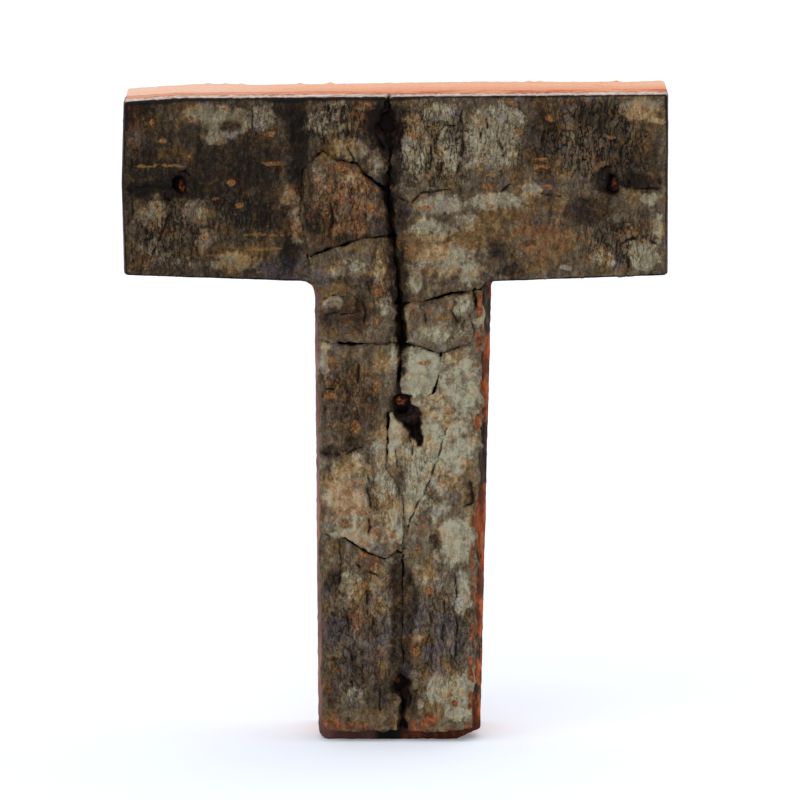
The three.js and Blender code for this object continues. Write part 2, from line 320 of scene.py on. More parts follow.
wood_orange = LEAST_ORANGE + (1 - LEAST_ORANGE) * faded(wood_x, *PALE_LEFT)
paint(wood_body, "near_bark", wood_orange * faded(wood_y - wood_low[1], STAINED_DEPTH, 0))
paint(wood_body, "bleached", 1 - wood_orange)
paint(wood_body, "back", on_back)

alder = Finish("sawn_alder")
alder_place = alder.place()
alder_bow = alder.grain(alder_place, (16, 16, 60), detail=2.0)
alder_spread = alder.node("ShaderNodeVectorMath", {0: alder_place, 1: PITH}, operation="SUBTRACT")
alder_height = alder.node("ShaderNodeSeparateXYZ", {0: alder_place}, "Z")
alder_lean = alder.node("ShaderNodeCombineXYZ", {"Y": alder.scaled(alder_height, TRUNK_LEAN)})
alder_spread = alder.node("ShaderNodeVectorMath", {0: alder_spread, 1: alder_lean}, operation="ADD")
alder_flat = alder.node("ShaderNodeVectorMath", {0: alder_spread, 1: (1, 1, 0)}, operation="MULTIPLY")
alder_radius = alder.node("ShaderNodeVectorMath", {0: alder_flat}, "Value", operation="LENGTH")
alder_bowed = alder.scaled(alder_bow, RING_BOW * RING_WIDTH, alder_radius)
alder_ring = alder.sum("FRACT", alder.sum("DIVIDE", alder_bowed, RING_WIDTH))
alder.colour = alder.tones(alder_ring, [
    (0.0, 238, 184, 146),
    (0.5, 236, 180, 140),
    (0.78, 226, 160, 118),
    (0.94, 211, 138, 96),
    (1.0, 236, 180, 142),
])
alder_fibre = alder.grain(alder_place, (0.28, 0.28, 7), detail=4.0, rough=0.65)
alder_streak = alder.grain(alder_place, (2.6, 1.2, 34), detail=3.0, shift=5.0)
alder.coat(alder.between(alder_fibre, 0.5, 0.72), tone(196, 118, 76))
alder.coat(alder.between(alder_streak, 0.56, 0.74), tone(216, 128, 82))
alder_blotch = alder.grain(alder_place, (9, 9, 14), detail=3.0, shift=11.0)
alder.coat(alder.between(alder_blotch, 0.5, 0.8), tone(244, 198, 168), most=0.4)
alder.coat(alder.painted("near_bark"), tone(220, 124, 74), most=0.62)
alder.coat(alder.painted("bleached"), tone(244, 208, 190), most=0.55)
alder_mill = alder.grain(alder_place, (28, 28, 0.55), detail=4.0, rough=0.7, shift=17.0)
alder_mill = alder.scaled(alder.between(alder_mill, 0.52, 0.74), alder.painted("back"))
alder.coat(alder_mill, tone(186, 116, 78), most=0.22)
alder_saw = alder.grain(alder_place, (0.5, 6, 0.5), detail=3.0, shift=3.0)
alder_saw = alder.scaled(alder_mill, -0.5, alder_saw)
alder.set(
    base_color=alder.colour,
    roughness=alder.scaled(alder_fibre, 0.3, 0.5),
    normal=alder.bump(alder.sum("ADD", alder_fibre, alder_saw), 0.05, 0.7),
)
wood_body.data.materials.append(alder.material)

# The inner bark is the orange, fibrous layer next to the wood. It stays glued to the wood by its own sap and
# is sawn with it: peach with red streaks on the top cut, which is painted lighter as if lit from above, with
# painted shade making the sides red-brown, and painted light from the left making the left-facing sides paler
# pink. It is rust orange where the outer bark has chipped off the edges. Painted shade makes it almost black
# under the outer bark, at the bottom of a crack and under the fissure, and darker towards the foot.
INNER_SKIN = 0.25
INNER_FIBRE_DEPTH = 0.1
INNER_SAW_DEPTH = 0.05
INNER_SIDE_TILT = (0.682, 0.227)
INNER_FRONT_TILT = (-0.2, -0.7)
INNER_BARED = (3.3, 1.1)           # orange near the sawn edge, and painted shade further in under the outer bark, between these two gaps
INNER_BARED_STRAY = 0.5
UNDER_FISSURE = (2.0, 1.0)         # and painted shade under the long fissure, which runs near this x
FISSURE_X = -0.6
LEAST_RED = 0.15
LEFT_OF_STEM = (0.0, -1.0)
UNDER_BAR = (49.0, 48.0)
FOOT_SHADE = (3.9, 0.9)             # painted shade darkens the foot between these heights
PATCH_CORE = 0.4                   # a patch is whole out to this share of its size, and gone at the next
PATCH_END = 1.4
EDGE_SCRAPS = [                    # outer bark left on the stem's right edge, as marks for patches
    (9.3, 47.0, 1.3, 2.9, 1.1), (9.1, 30.5, 1.3, 4.6, 0.85), (8.9, 9.8, 1.2, 1.6, 0.7),
]


def patches(points, marks):
    """Soft patches from marks of (x, z, half width, half height, strength)."""
    cover = np.zeros(len(points))
    for x, z, half_width, half_height, strength in marks:
        reach = np.hypot((points[:, 0] - x) / half_width, (points[:, 2] - z) / half_height)
        fade = faded(reach, PATCH_END, PATCH_CORE)
        cover = np.maximum(cover, strength * fade)
    return cover


inner_sheet = even_skin("inner_bark", INNER_SKIN)
inner_points = points_of(inner_sheet)
inner_normals = normals_of(inner_sheet)
inner_low, inner_high = (np.array(corner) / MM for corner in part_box("inner_bark"))
inner_points = sawn_flush(inner_points, inner_normals, inner_high[1])
inner_points = sawn_flush(inner_points, inner_normals, inner_low[1])
inner_x, inner_y, inner_z = inner_points.T
inner_sawn = faded(abs(inner_normals[:, 1]), *INNER_SIDE_TILT)
inner_front = faded(inner_normals[:, 1], *INNER_FRONT_TILT)
inner_relief = INNER_FIBRE_DEPTH * grown(inner_points, (0.5, 0.5, 3), seed=11) * inner_front
inner_along = np.column_stack([inner_x + inner_z, np.zeros(len(inner_x)), np.zeros(len(inner_x))])
inner_relief += INNER_SAW_DEPTH * grown(inner_along, (0.6, 1, 1), seed=14, octaves=2) * inner_sawn
carve(inner_sheet, inner_points + inner_normals * inner_relief[:, None])
inner_gap = gap_to(inner_points, outline)
inner_gap += INNER_BARED_STRAY * lumps(inner_points, (1.5, 1.5, 2.2), seed=16)
inner_bared = faded(inner_gap, *INNER_BARED) * (1 - faded(abs(inner_x - FISSURE_X), *UNDER_FISSURE))
inner_left_of_stem = faded(inner_x, *LEFT_OF_STEM) * faded(inner_z, *UNDER_BAR)
paint(inner_sheet, "sawn", inner_sawn)
paint(inner_sheet, "bared", np.maximum(inner_bared, inner_sawn))
paint(inner_sheet, "reddened", LEAST_RED + (1 - LEAST_RED) * faded(inner_x, *PALE_LEFT))
# Painted light: faces that look up are painted lighter, as if lit from above.
paint(inner_sheet, "lit_top", np.clip(inner_normals[:, 2], 0, 1))
# Painted light: faces that look left, and the inner bark left of the stem, are painted a paler pink as if lit
# from the left.
paint(inner_sheet, "lit_from_left", np.maximum(np.clip(-inner_normals[:, 0], 0, 1), inner_left_of_stem))
paint(inner_sheet, "foot_shade", faded(inner_z, *FOOT_SHADE))
paint(inner_sheet, "scraps", inner_front * patches(inner_points, EDGE_SCRAPS))
paint(inner_sheet, "from_wood", (inner_high[1] - inner_y) / (inner_high[1] - inner_low[1]))

bast = Finish("inner_bark")
bast_place = bast.place()
bast_fibre = bast.grain(bast_place, (0.4, 0.4, 2.4), detail=4.0, rough=0.65)
bast_patch = bast.grain(bast_place, (1.6, 1.6, 2.6), detail=3.0, shift=4.0)
bast.colour = bast.tones(bast_fibre, [
    (0.3, 104, 48, 28),
    (0.45, 164, 80, 42),
    (0.58, 194, 106, 62),
    (0.72, 214, 142, 100),
])
bast.coat(bast.between(bast_patch, 0.47, 0.6), tone(96, 54, 38), most=0.85)
bast_scraps = bast.grain(bast_place, (1.2, 1.2, 3.2), detail=4.0, rough=0.65, shift=21.0)
bast_scraps = bast.scaled(bast.painted("scraps"), 0.25, bast_scraps)
bast_scrap_colour = bast.tones(bast_fibre, [(0.35, 40, 31, 26), (0.5, 72, 58, 46), (0.65, 110, 94, 74)])
bast.coat(bast.between(bast_scraps, 0.54, 0.62), bast_scrap_colour)
bast_layers = bast.grain(bast.bent(bast_place, 3.0, 0.25), (7, 0.3, 7), detail=4.0, rough=0.6, shift=9.0)
# The top cut is painted lighter as if lit from above, and the sides darker as painted shade.
bast_lit_cut = bast.tones(bast_layers, [
    (0.3, 206, 134, 98),
    (0.45, 228, 160, 122),
    (0.6, 218, 148, 114),
    (0.75, 228, 178, 150),
])
bast_shaded_side = bast.tones(bast_layers, [
    (0.3, 96, 54, 38),
    (0.45, 150, 90, 64),
    (0.6, 172, 108, 78),
    (0.75, 124, 70, 48),
])
bast_stretch = bast.grain(bast_place, (6, 6, 6), detail=1.0, shift=27.0)
bast_dashes = bast.grain(bast.bent(bast_place, 2.0, 0.3), (2.4, 0.4, 2.4), detail=4.0, rough=0.6, shift=15.0)
bast_dashes = bast.scaled(bast.sum("SUBTRACT", bast_stretch, 0.5), 0.5, bast_dashes)
bast_off_wood = bast.between(bast.painted("from_wood"), 0.0, 0.25)
bast_red = bast.scaled(bast.between(bast_dashes, 0.45, 0.55), bast_off_wood)
bast_red = bast.scaled(bast_red, bast.painted("reddened"))
bast_red = bast.scaled(bast_red, bast.scaled(bast.painted("lit_top"), 0.6, 0.4))
bast_shade = bast.over(bast_shaded_side, bast.painted("lit_top"), bast_lit_cut)
bast_shade = bast.over(bast_shade, bast.scaled(bast_red, 0.95), tone(184, 72, 34))
bast.coat(bast.painted("sawn"), bast_shade)
# Painted light from the left, as a paler pink.
bast_lit_pink = bast.tones(bast_layers, [(0.3, 104, 76, 74), (0.5, 158, 116, 108), (0.7, 186, 134, 114)])
bast.coat(bast.painted("lit_from_left"), bast_lit_pink, most=0.95)
# Painted shade: darker towards the foot.
bast.coat(bast.painted("foot_shade"), tone(70, 34, 22), most=0.7)
# Painted shade: almost black where the outer bark covers the inner bark, at the bottom of cracks and under
# the fissure.
bast.colour = bast.over(tone(18, 12, 10), bast.painted("bared"), bast.colour)
bast.set(
    base_color=bast.colour,
    roughness=bast.scaled(bast_patch, 0.3, 0.55),
    specular_ior_level=0.15,
    normal=bast.bump(bast_fibre, 0.12, 0.8),
)
inner_sheet.data.materials.append(bast.material)

# The outer bark has dried and cracked into nine plates, which still lie where they grew. All are the same
# weathered bark under a thin coat of satin lacquer: dark fibres and furrows up the trunk, pale crusts of
# lichen, dark wet stains, rust orange cork pores and hair cracks. Each plate's own marks follow below, in mm.
BARK_SKIN = 0.14
SWELL_HEIGHT = 0.16                # slow swells of the plate
FIBRE_HEIGHT = 0.12                # upright fibres
FLAKE_HEIGHT = 0.07                # small flakes between them
SPLIT_DEPTH = 0.14                 # short upright splits in the fibres
CRUST_HEIGHT = 0.08                # lichen above the bark
CORK_HEIGHT = 0.12                 # lips of the cork pores
CRACK_DEPTH = 0.35
CRACK_HALF_WIDTH = 0.2
CRACK_END = 0.2                    # share of a crack's length over which it thins out
CRACK_THINNEST = 0.3
CRACK_BREAKS = (-0.889, 0.222)     # lumps below and above these break a crack or leave it whole
SPLIT_LUMPS = (0.25, 0.65)         # lumps between these open into a split
BAND_HALF_WIDTH = 0.4
BAND_HEIGHT = 0.06
CRUST_OF_LICHEN = 1.6              # a crust grows where so much lichen and so much flake pass these two marks
CRUST_OF_FLAKES = 0.5
CRUST_START = (0.3, 1.3)
FACE_TILT = (-0.24, -0.64)         # tilts that make a surface no face, or a full one
SAWN_TILT = (0.273, 0.727)
LOOSE_SHARE = (1.0, 0.667)         # of the thickness: the root is held by the inner bark and keeps its shape
WALL_ROUGHNESS = 0.2               # torn walls of the cracks
CHIP_RAGGEDNESS = 0.2              # broken edges, where the bark has chipped back from the cut
PIT_RAGGEDNESS = 0.5               # torn edges round the brads
PIT_REACH = (2.4, 1.2)
PIT_FLARE = 0.6
PIT_LIP = 0.5                      # the bark has closed in on the arms' brads from both sides
PIT_LIP_DEPTH = (1.3, 0.8)         # from the one depth under its face up to the other
ARM_START = 12.0
CHIP_START = (0.333, 0.667)        # chipped edges lie between these gaps from the cut
CHIP_END = (3.0, 2.0)
SAWN_ROUGHNESS = 0.03
STRAY = 0.4                        # marks wander this far from a clean edge
FINE_STRAY = 0.5                   # and these marks by a share of it
BAND_STRAY = 0.3
FIBRE_STRAY = 0.6
RIM_REACH = 0.35                   # a rim of painted shade runs along the sawn edges
RIM_EDGE = (1.3, 0.3)
RIM_SMOOTHING = 0.5
TOP_RIM_REACH = 0.75               # and is wider along the top, above this height and left of these x
TOP_RIM_START = 66.0
TOP_RIM_END = (5.0, -1.0)
TOP_RIM_EVENNESS = 0.9
TOP_RIM_RANGE = (-0.5, 1.3)
STEM_TOP = 49.0                    # below this the bark has chipped off the sawn edges
STEM_EDGE = (0.9, 1.4)
WEAR_REACH = (2.0, 1.0)            # orange shows through a worn plate this near to the sawn edge
WEAR_BREAKS = (-0.3125, 0.3125)
WALL_WEAR = 0.45
HOLLOW_DEPTH = (0.15, 0.9)         # painted shade darkens cracks and pits between these depths
GOUGE_DARK = 0.333
WIDEST_CRACK = 1.7                 # a wider gap beside a plate is a brad's pit, not a crack
WALL_STEEPNESS = (0.3, 0.633)
WALL_CLEARANCE = 0.05
SHUT_OVERLAP = 0.03
CLOSING_RANGE = (-0.25, 1.0)
FISSURE_GAP = 0.75                 # a crack wider than this is the long fissure, which stays open
FISSURE_CLOSING = 0.08             # mean share of the gap that closes, and how far points stray from it
FISSURE_STRAY = 0.6
CRACK_CLOSING = 0.62
CRACK_STRAY = 0.45
PLATE_SEED = 60
PLATE_SEED_STEP = 3
SHUT_CRACKS = [                    # where the plates still touch, as marks for patches
    (-10.2, 57.0, 2.6, 5.5, 1.2), (-9.0, 50.5, 2.0, 3.0, 1.2), (-7.5, 63.9, 2.0, 1.2, 0.6),
    (-0.6, 27.0, 2.6, 3.4, 0.55), (-6.5, 22.6, 1.8, 1.5, 0.4), (6.5, 43.6, 2.4, 1.3, 0.75),
    (8.4, 46.0, 1.2, 2.6, 0.5), (8.6, 49.5, 1.4, 0.8, 0.4), (-7.4, 43.4, 1.2, 1.0, 0.5),
    (-1.6, 43.0, 1.8, 0.9, 0.8), (3.6, 36.9, 1.4, 0.8, 0.6), (2.4, 47.6, 1.4, 0.8, 0.3),
    (0.7, 20.6, 1.3, 2.4, 0.9), (0.8, 13.5, 1.3, 7.0, 0.95), (-9.0, 62.6, 1.4, 1.6, 0.7),
    (-0.6, 62.6, 1.3, 1.8, 0.6), (0.1, 48.6, 1.6, 3.6, 0.35), (-0.4, 53.0, 1.4, 1.4, 0.4),
]

FISSURE = [(-0.6, 71.0), (-0.6, 62.0), (-0.3, 56.0), (0.1, 50.8), (0.6, 44.5), (0.5, 41.0), (0.4, 37.5)]
FISSURE_STAIN_REACH = 1.0          # the bark is stained dark this far on both sides of the fissure
FISSURE_STAIN = 1.4

brad_boxes = [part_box(name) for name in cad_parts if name.startswith("brad_")]
brad_places = [((low[0] + high[0]) / 2 / MM, (low[2] + high[2]) / 2 / MM) for low, high in brad_boxes]
plate_nodes = [node for name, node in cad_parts.items() if name.startswith("bark_")]
plate_corners = []
plate_faces = []
for plate_node in plate_nodes:
    first = len(plate_corners)
    plate_corners += [vertex.co / MM for vertex in plate_node.data.vertices]
    plate_faces += [[first + corner for corner in face.vertices] for face in plate_node.data.polygons]
all_plates = BVHTree.FromPolygons(plate_corners, plate_faces)


def near_lines(points, lines, half_width):
    """1 on a set of lines, fading to 0 at their half width. The lines thin out towards their ends."""
    flat = points[:, [0, 2]]
    cover = np.zeros(len(points))
    for line in lines:
        corners = np.array(line)
        lengths = np.linalg.norm(np.diff(corners, axis=0), axis=1)
        walked = np.concatenate([[0], np.cumsum(lengths)]) / lengths.sum()
        for start, run, begin, end in zip(corners, np.diff(corners, axis=0), walked, walked[1:]):
            share = np.clip((flat - start) @ run / (run @ run), 0, 1)
            gap = np.linalg.norm(flat - start - share[:, None] * run, axis=1)
            along = begin + share * (end - begin)
            from_end = faded(np.minimum(along, 1 - along), 0, CRACK_END)
            width = half_width * (CRACK_THINNEST + (1 - CRACK_THINNEST) * from_end)
            cover = np.maximum(cover, 1 - gap / width)
    return cover


def drawn_shut(points, normals, seed):
    """How far each point of a plate's walls moves to close its crack, where the plates still touch."""
    outward, steepness = level_outward(normals)
    ragged = grown(points, (0.9, 0.9, 0.9), seed)
    closing = patches(points, SHUT_CRACKS)
    thin = np.clip(closing + CRACK_CLOSING + CRACK_STRAY * ragged, *CLOSING_RANGE)
    wide = np.clip(closing + FISSURE_CLOSING + FISSURE_STRAY * ragged, *CLOSING_RANGE)
    on_wall = faded(steepness, *WALL_STEEPNESS)
    moves = np.zeros(len(points))
    for index in np.flatnonzero(steepness > WALL_STEEPNESS[0]):
        direction = Vector(outward[index])
        clear_of_wall = Vector(points[index]) + direction * WALL_CLEARANCE
        gap = all_plates.ray_cast(clear_of_wall, direction, WIDEST_CRACK)[3]
        if gap is not None:
            shut = thin[index] if gap < FISSURE_GAP else wide[index]
            moves[index] = shut * (gap / 2 + SHUT_OVERLAP)
    return outward * (moves * on_wall)[:, None]


def bark_plate(node, ground, lichen, stains, warm, ochre, furrows, pores, cracks,
               bands=(), painted_sheen=(), bared=(), gouges=(), worn=0.0):
    """A plate of bark on its CAD node. The ground is how pale its plain bark is, from 0 to 1. Pores are
    marks without a strength, cracks and bands are lines of (x, z) points, the rest are marks for patches."""
    plate = even_skin(node, BARK_SKIN)
    points = points_of(plate)
    normals = normals_of(plate)
    seed = PLATE_SEED + PLATE_SEED_STEP * list(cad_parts).index(node)
    points = sawn_flush(points, normals, points[:, 1].max())
    below_face = points[:, 1] - points[:, 1].min()
    thickness = below_face.max()
    facing = faded(normals[:, 1], *FACE_TILT)
    wall = 1 - abs(normals[:, 1])
    loose = faded(below_face / thickness, *LOOSE_SHARE)
    edge_gap = gap_to(points, outline)
    stray = np.zeros_like(points)
    stray[:, 0] = STRAY * grown(points, (1.3, 1.3, 1.3), seed=21, octaves=4)
    stray[:, 2] = STRAY * grown(points, (1.3, 1.3, 1.3), seed=25, octaves=4)
    strayed = points + stray
    lichen_cover = patches(strayed, lichen)
    fissure_stain = FISSURE_STAIN * near_lines(strayed, [FISSURE], FISSURE_STAIN_REACH)
    pore_cover = patches(points + FINE_STRAY * stray, [(*pore, 1.0) for pore in pores])
    crack_cover = np.clip(near_lines(points + FINE_STRAY * stray, cracks, CRACK_HALF_WIDTH), 0, 1)
    crack_cover *= faded(lumps(points, (0.5, 0.5, 0.7), seed=29), *CRACK_BREAKS)
    band_cover = np.clip(near_lines(points + BAND_STRAY * stray, bands, BAND_HALF_WIDTH), 0, 1)
    gouge_cover = patches(points + FIBRE_STRAY * stray, gouges)
    bent = points + FIBRE_STRAY * stray * (1, 1, 2)
    fibres = grown(bent, (0.5, 0.5, 2.2), seed=31)
    splits = faded(lumps(bent, (0.3, 0.3, 1.1), seed=34), *SPLIT_LUMPS)
    flakes = grown(bent, (0.8, 0.8, 1.0), seed=35)
    relief = SWELL_HEIGHT * lumps(points, (5, 5, 7), seed=41)
    relief += FIBRE_HEIGHT * fibres + FLAKE_HEIGHT * flakes - SPLIT_DEPTH * splits
    relief += CRUST_HEIGHT * faded(CRUST_OF_LICHEN * lichen_cover + CRUST_OF_FLAKES * flakes, *CRUST_START)
    relief += CORK_HEIGHT * pore_cover + BAND_HEIGHT * band_cover
    relief -= CRACK_DEPTH * crack_cover + gouge_cover
    shaded_top_rim = faded(points[:, 0], *TOP_RIM_END) * (points[:, 2] > TOP_RIM_START)
    shaded_top_rim *= TOP_RIM_EVENNESS * (1 + grown(points, (2.2, 2.2, 2.2), seed=53, octaves=2))
    rim_reach = RIM_REACH + (TOP_RIM_REACH - RIM_REACH) * np.clip(shaded_top_rim, *TOP_RIM_RANGE)
    shaded_rim = faded(edge_gap / rim_reach, *RIM_EDGE)
    chipped = faded(edge_gap, *CHIP_START) * faded(edge_gap, *CHIP_END)
    torn = np.zeros(len(points))
    for place in brad_places:
        from_brad = np.linalg.norm(points[:, [0, 2]] - place, axis=1)
        torn = np.maximum(torn, faded(from_brad, *PIT_REACH))
    closed_in = PIT_LIP * torn * wall * abs(normals[:, 0]) * faded(below_face, *PIT_LIP_DEPTH)
    closed_in *= abs(points[:, 0]) > ARM_START
    raggedness = WALL_ROUGHNESS + (SAWN_ROUGHNESS - WALL_ROUGHNESS) * shaded_rim
    raggedness += CHIP_RAGGEDNESS * chipped + PIT_RAGGEDNESS * torn
    tears = raggedness * (grown(points, (1.3, 1.3, 1.6), seed=45, octaves=4) + PIT_FLARE * torn)
    relief = relief * facing * (1 - RIM_SMOOTHING * shaded_rim) + tears * wall + closed_in
    moved = normals * (relief * loose)[:, None] + drawn_shut(points, normals, seed)
    carve(plate, points + moved)
    # Painted shade darkens the cracks, pits and gouges by their depth under the face.
    hollow_shade = faded(below_face, *HOLLOW_DEPTH) * (1 - shaded_rim)
    hollow_shade *= np.where(points[:, 2] < STEM_TOP, faded(edge_gap, *STEM_EDGE), 1)
    wear = worn * faded(edge_gap, *WEAR_REACH)
    wear *= faded(grown(points, (0.8, 0.8, 1.5), seed=49), *WEAR_BREAKS)
    wear *= WALL_WEAR + (1 - WALL_WEAR) * facing
    for name, values in {
        "ground": np.full(len(points), ground),
        "fibre": fibres,
        "split": splits,
        "lichen": lichen_cover,
        "stain": np.maximum(patches(strayed, stains), fissure_stain),
        "warm": patches(strayed, warm),
        "ochre": patches(strayed, ochre),
        "furrows": patches(strayed, furrows),
        "painted_sheen": patches(strayed, painted_sheen),
        "bared": np.maximum(patches(strayed, bared), wear),
        "pore": pore_cover,
        "band": band_cover,
        "crack": crack_cover,
        "hollow_shade": np.maximum(hollow_shade, faded(gouge_cover, 0, GOUGE_DARK)),
        "pit": torn,
        "shaded_rim": shaded_rim,
        "sawn": shaded_rim * faded(wall, *SAWN_TILT),
        "lit_top": np.clip(normals[:, 2], 0, 1),
        "below_face": below_face / thickness,
    }.items():
        paint(plate, name, values)
    plate.data.materials.append(bark.material)


bark = Finish("weathered_bark")
bark_place = bark.place()
bark_bent = bark.bent(bark_place, 1.2, 0.35)
weather = bark.grain(bark_place, (1.8, 1.8, 2.0), detail=5.0, rough=0.65, shift=7.0)
mottle = bark.grain(bark_bent, (0.5, 0.5, 0.55), detail=4.0, rough=0.6, shift=13.0)
flecks = bark.grain(bark_place, (0.2, 0.2, 0.24), detail=2.0, rough=0.5, shift=23.0)
lichen_share = bark.scaled(weather, 1.1, bark.painted("lichen"))
lichen_share = bark.scaled(mottle, 0.5, lichen_share)
lichen_share = bark.between(lichen_share, 1.0, 1.45)
furrow_field = bark.grain(bark_bent, (0.55, 0.55, 2.0), detail=3.0, rough=0.5, shift=31.0)
furrow_offset = bark.sum("ABSOLUTE", bark.sum("SUBTRACT", furrow_field, 0.5))
furrow_lines = bark.scaled(bark.between(furrow_offset, 0.055, 0.01), bark.between(mottle, 0.3, 0.5))
furrow_spread = bark.scaled(bark.painted("furrows"), 0.85, 0.15)
furrow_share = bark.scaled(furrow_lines, furrow_spread)
crazing_place = bark.node("ShaderNodeVectorMath", {0: bark_bent, 1: (0.9, 0.9, 0.75)}, operation="MULTIPLY")
crazing = bark.node("ShaderNodeTexVoronoi", {"Vector": crazing_place, "Scale": 1.0}, "Distance",
                    feature="DISTANCE_TO_EDGE")
craze_lines = bark.scaled(bark.between(crazing, 0.06, 0.0), bark.between(weather, 0.42, 0.56))
paleness = bark.painted("ground")
for part, share in (
    (lichen_share, 0.3),
    (bark.painted("stain"), -0.36),
    (bark.painted("fibre"), 0.08),
    (bark.painted("split"), -0.08),
    (bark.sum("SUBTRACT", weather, 0.5), 0.55),
    (bark.sum("SUBTRACT", mottle, 0.5), 0.6),
    (bark.sum("SUBTRACT", flecks, 0.5), 0.35),
    (furrow_share, -0.46),
    (craze_lines, -0.14),
):
    paleness = bark.scaled(part, share, paleness)
olive_bark = bark.tones(paleness, [
    (0.0, 14, 10, 7),
    (0.17, 34, 26, 17),
    (0.35, 62, 50, 36),
    (0.52, 90, 76, 58),
    (0.68, 117, 104, 82),
    (0.84, 142, 134, 109),
    (1.0, 167, 162, 137),
])
ochre_bark = bark.tones(paleness, [
    (0.0, 22, 13, 7),
    (0.2, 52, 35, 17),
    (0.4, 92, 67, 36),
    (0.6, 128, 98, 58),
    (0.8, 156, 127, 84),
    (1.0, 182, 158, 116),
])
rusty_bark = bark.tones(paleness, [
    (0.0, 22, 11, 7),
    (0.2, 58, 32, 18),
    (0.4, 98, 62, 37),
    (0.6, 132, 91, 58),
    (0.8, 158, 121, 85),
    (1.0, 182, 151, 118),
])
# Painted sheen: a blue-grey tint stands for the lamps' reflection in pooled lacquer.
sheen_bark = bark.tones(paleness, [
    (0.0, 16, 13, 15),
    (0.2, 40, 34, 36),
    (0.4, 70, 62, 64),
    (0.6, 100, 92, 92),
    (0.8, 132, 126, 122),
    (1.0, 160, 156, 148),
])
bark.colour = olive_bark
for name, hue, cell, shift, low, high, most in (
    ("ochre", ochre_bark, (2.0, 2.0, 1.5), 41.0, 0.5, 0.68, 0.75),
    ("painted_sheen", sheen_bark, (1.7, 1.7, 2.2), 53.0, 0.54, 0.72, 0.65),
    ("warm", rusty_bark, (1.1, 1.1, 0.8), 67.0, 0.56, 0.74, 0.75),
):
    drift = bark.grain(bark_bent, cell, detail=4.0, rough=0.6, shift=shift)
    hue_share = bark.between(bark.scaled(bark.painted(name), 0.28, drift), low, high)
    bark.coat(hue_share, hue, most=most)
band_share = bark.scaled(mottle, 2.4, bark.painted("band"))
bark.coat(bark.between(band_share, 1.7, 2.2), tone(128, 94, 48), most=0.75)
pore_share = bark.scaled(mottle, 1.2, bark.painted("pore"))
pore_colour = bark.tones(flecks, [(0.35, 86, 52, 28), (0.5, 130, 84, 46), (0.65, 156, 112, 68)])
bark.coat(bark.between(pore_share, 1.0, 1.6), pore_colour, most=0.85)
bared_share = bark.scaled(mottle, 0.8, bark.painted("bared"))
bared_colour = bark.tones(mottle, [(0.38, 78, 44, 29), (0.53, 132, 74, 43), (0.68, 166, 104, 66)])
bark.coat(bark.between(bared_share, 0.7, 1.1), bared_colour)
bark.coat(bark.between(bark.painted("crack"), 0.1, 0.7), tone(18, 13, 11), most=0.85)
# Painted shade: a dark rim along the sawn edges, for the shade on the bevelled front edge of the bark.
shaded_rim_share = bark.scaled(weather, 1.2, bark.painted("shaded_rim"))
bark.coat(bark.between(shaded_rim_share, 0.7, 1.4), tone(20, 14, 13), most=0.92)
# The sawn cut is painted lighter on top, as if lit from above, and darker on the sides as painted shade.
bark_layers = bark.grain(bark_place, (5, 0.2, 5), detail=3.0, rough=0.6, shift=9.0)
shaded_cut_side = bark.tones(bark_layers, [(0.35, 48, 34, 31), (0.5, 88, 66, 58), (0.65, 124, 98, 86)])
cut_grain = bark.scaled(bark.sum("SUBTRACT", mottle, 0.5), 0.8, bark_layers)
lit_cut_top = bark.tones(cut_grain, [(0.34, 150, 112, 96), (0.5, 204, 178, 164), (0.66, 226, 210, 201)])
cut_colour = bark.over(shaded_cut_side, bark.painted("lit_top"), lit_cut_top)
# Painted shade: the cut darkens near the face, for the shade on the bevelled front edge.
face_edge_shade = bark.between(bark.scaled(mottle, 0.6, bark.painted("below_face")), 0.6, 0.4)
cut_colour = bark.over(cut_colour, face_edge_shade, tone(34, 24, 22))
bark.coat(bark.painted("sawn"), cut_colour)
# Painted shade in the cracks and pits, lighter in the wide pits round the brads.
hollow_shade_colour = bark.tones(mottle, [(0.35, 7, 5, 5), (0.65, 36, 25, 20)])
pit_shade_colour = bark.tones(mottle, [(0.35, 12, 8, 8), (0.65, 48, 32, 27)])
hollow_shade_colour = bark.over(hollow_shade_colour, bark.painted("pit"), pit_shade_colour)
bark.coat(bark.painted("hollow_shade"), hollow_shade_colour)
bark_height = bark.scaled(furrow_share, -0.5, bark.scaled(flecks, 0.5, mottle))
bark.set(
    base_color=bark.colour,
    roughness=bark.scaled(weather, 0.3, 0.45),
    normal=bark.bump(bark_height, 0.16, 0.7),
    specular_ior_level=0.06,
    coat_weight=0.02,
    coat_roughness=0.3,
)

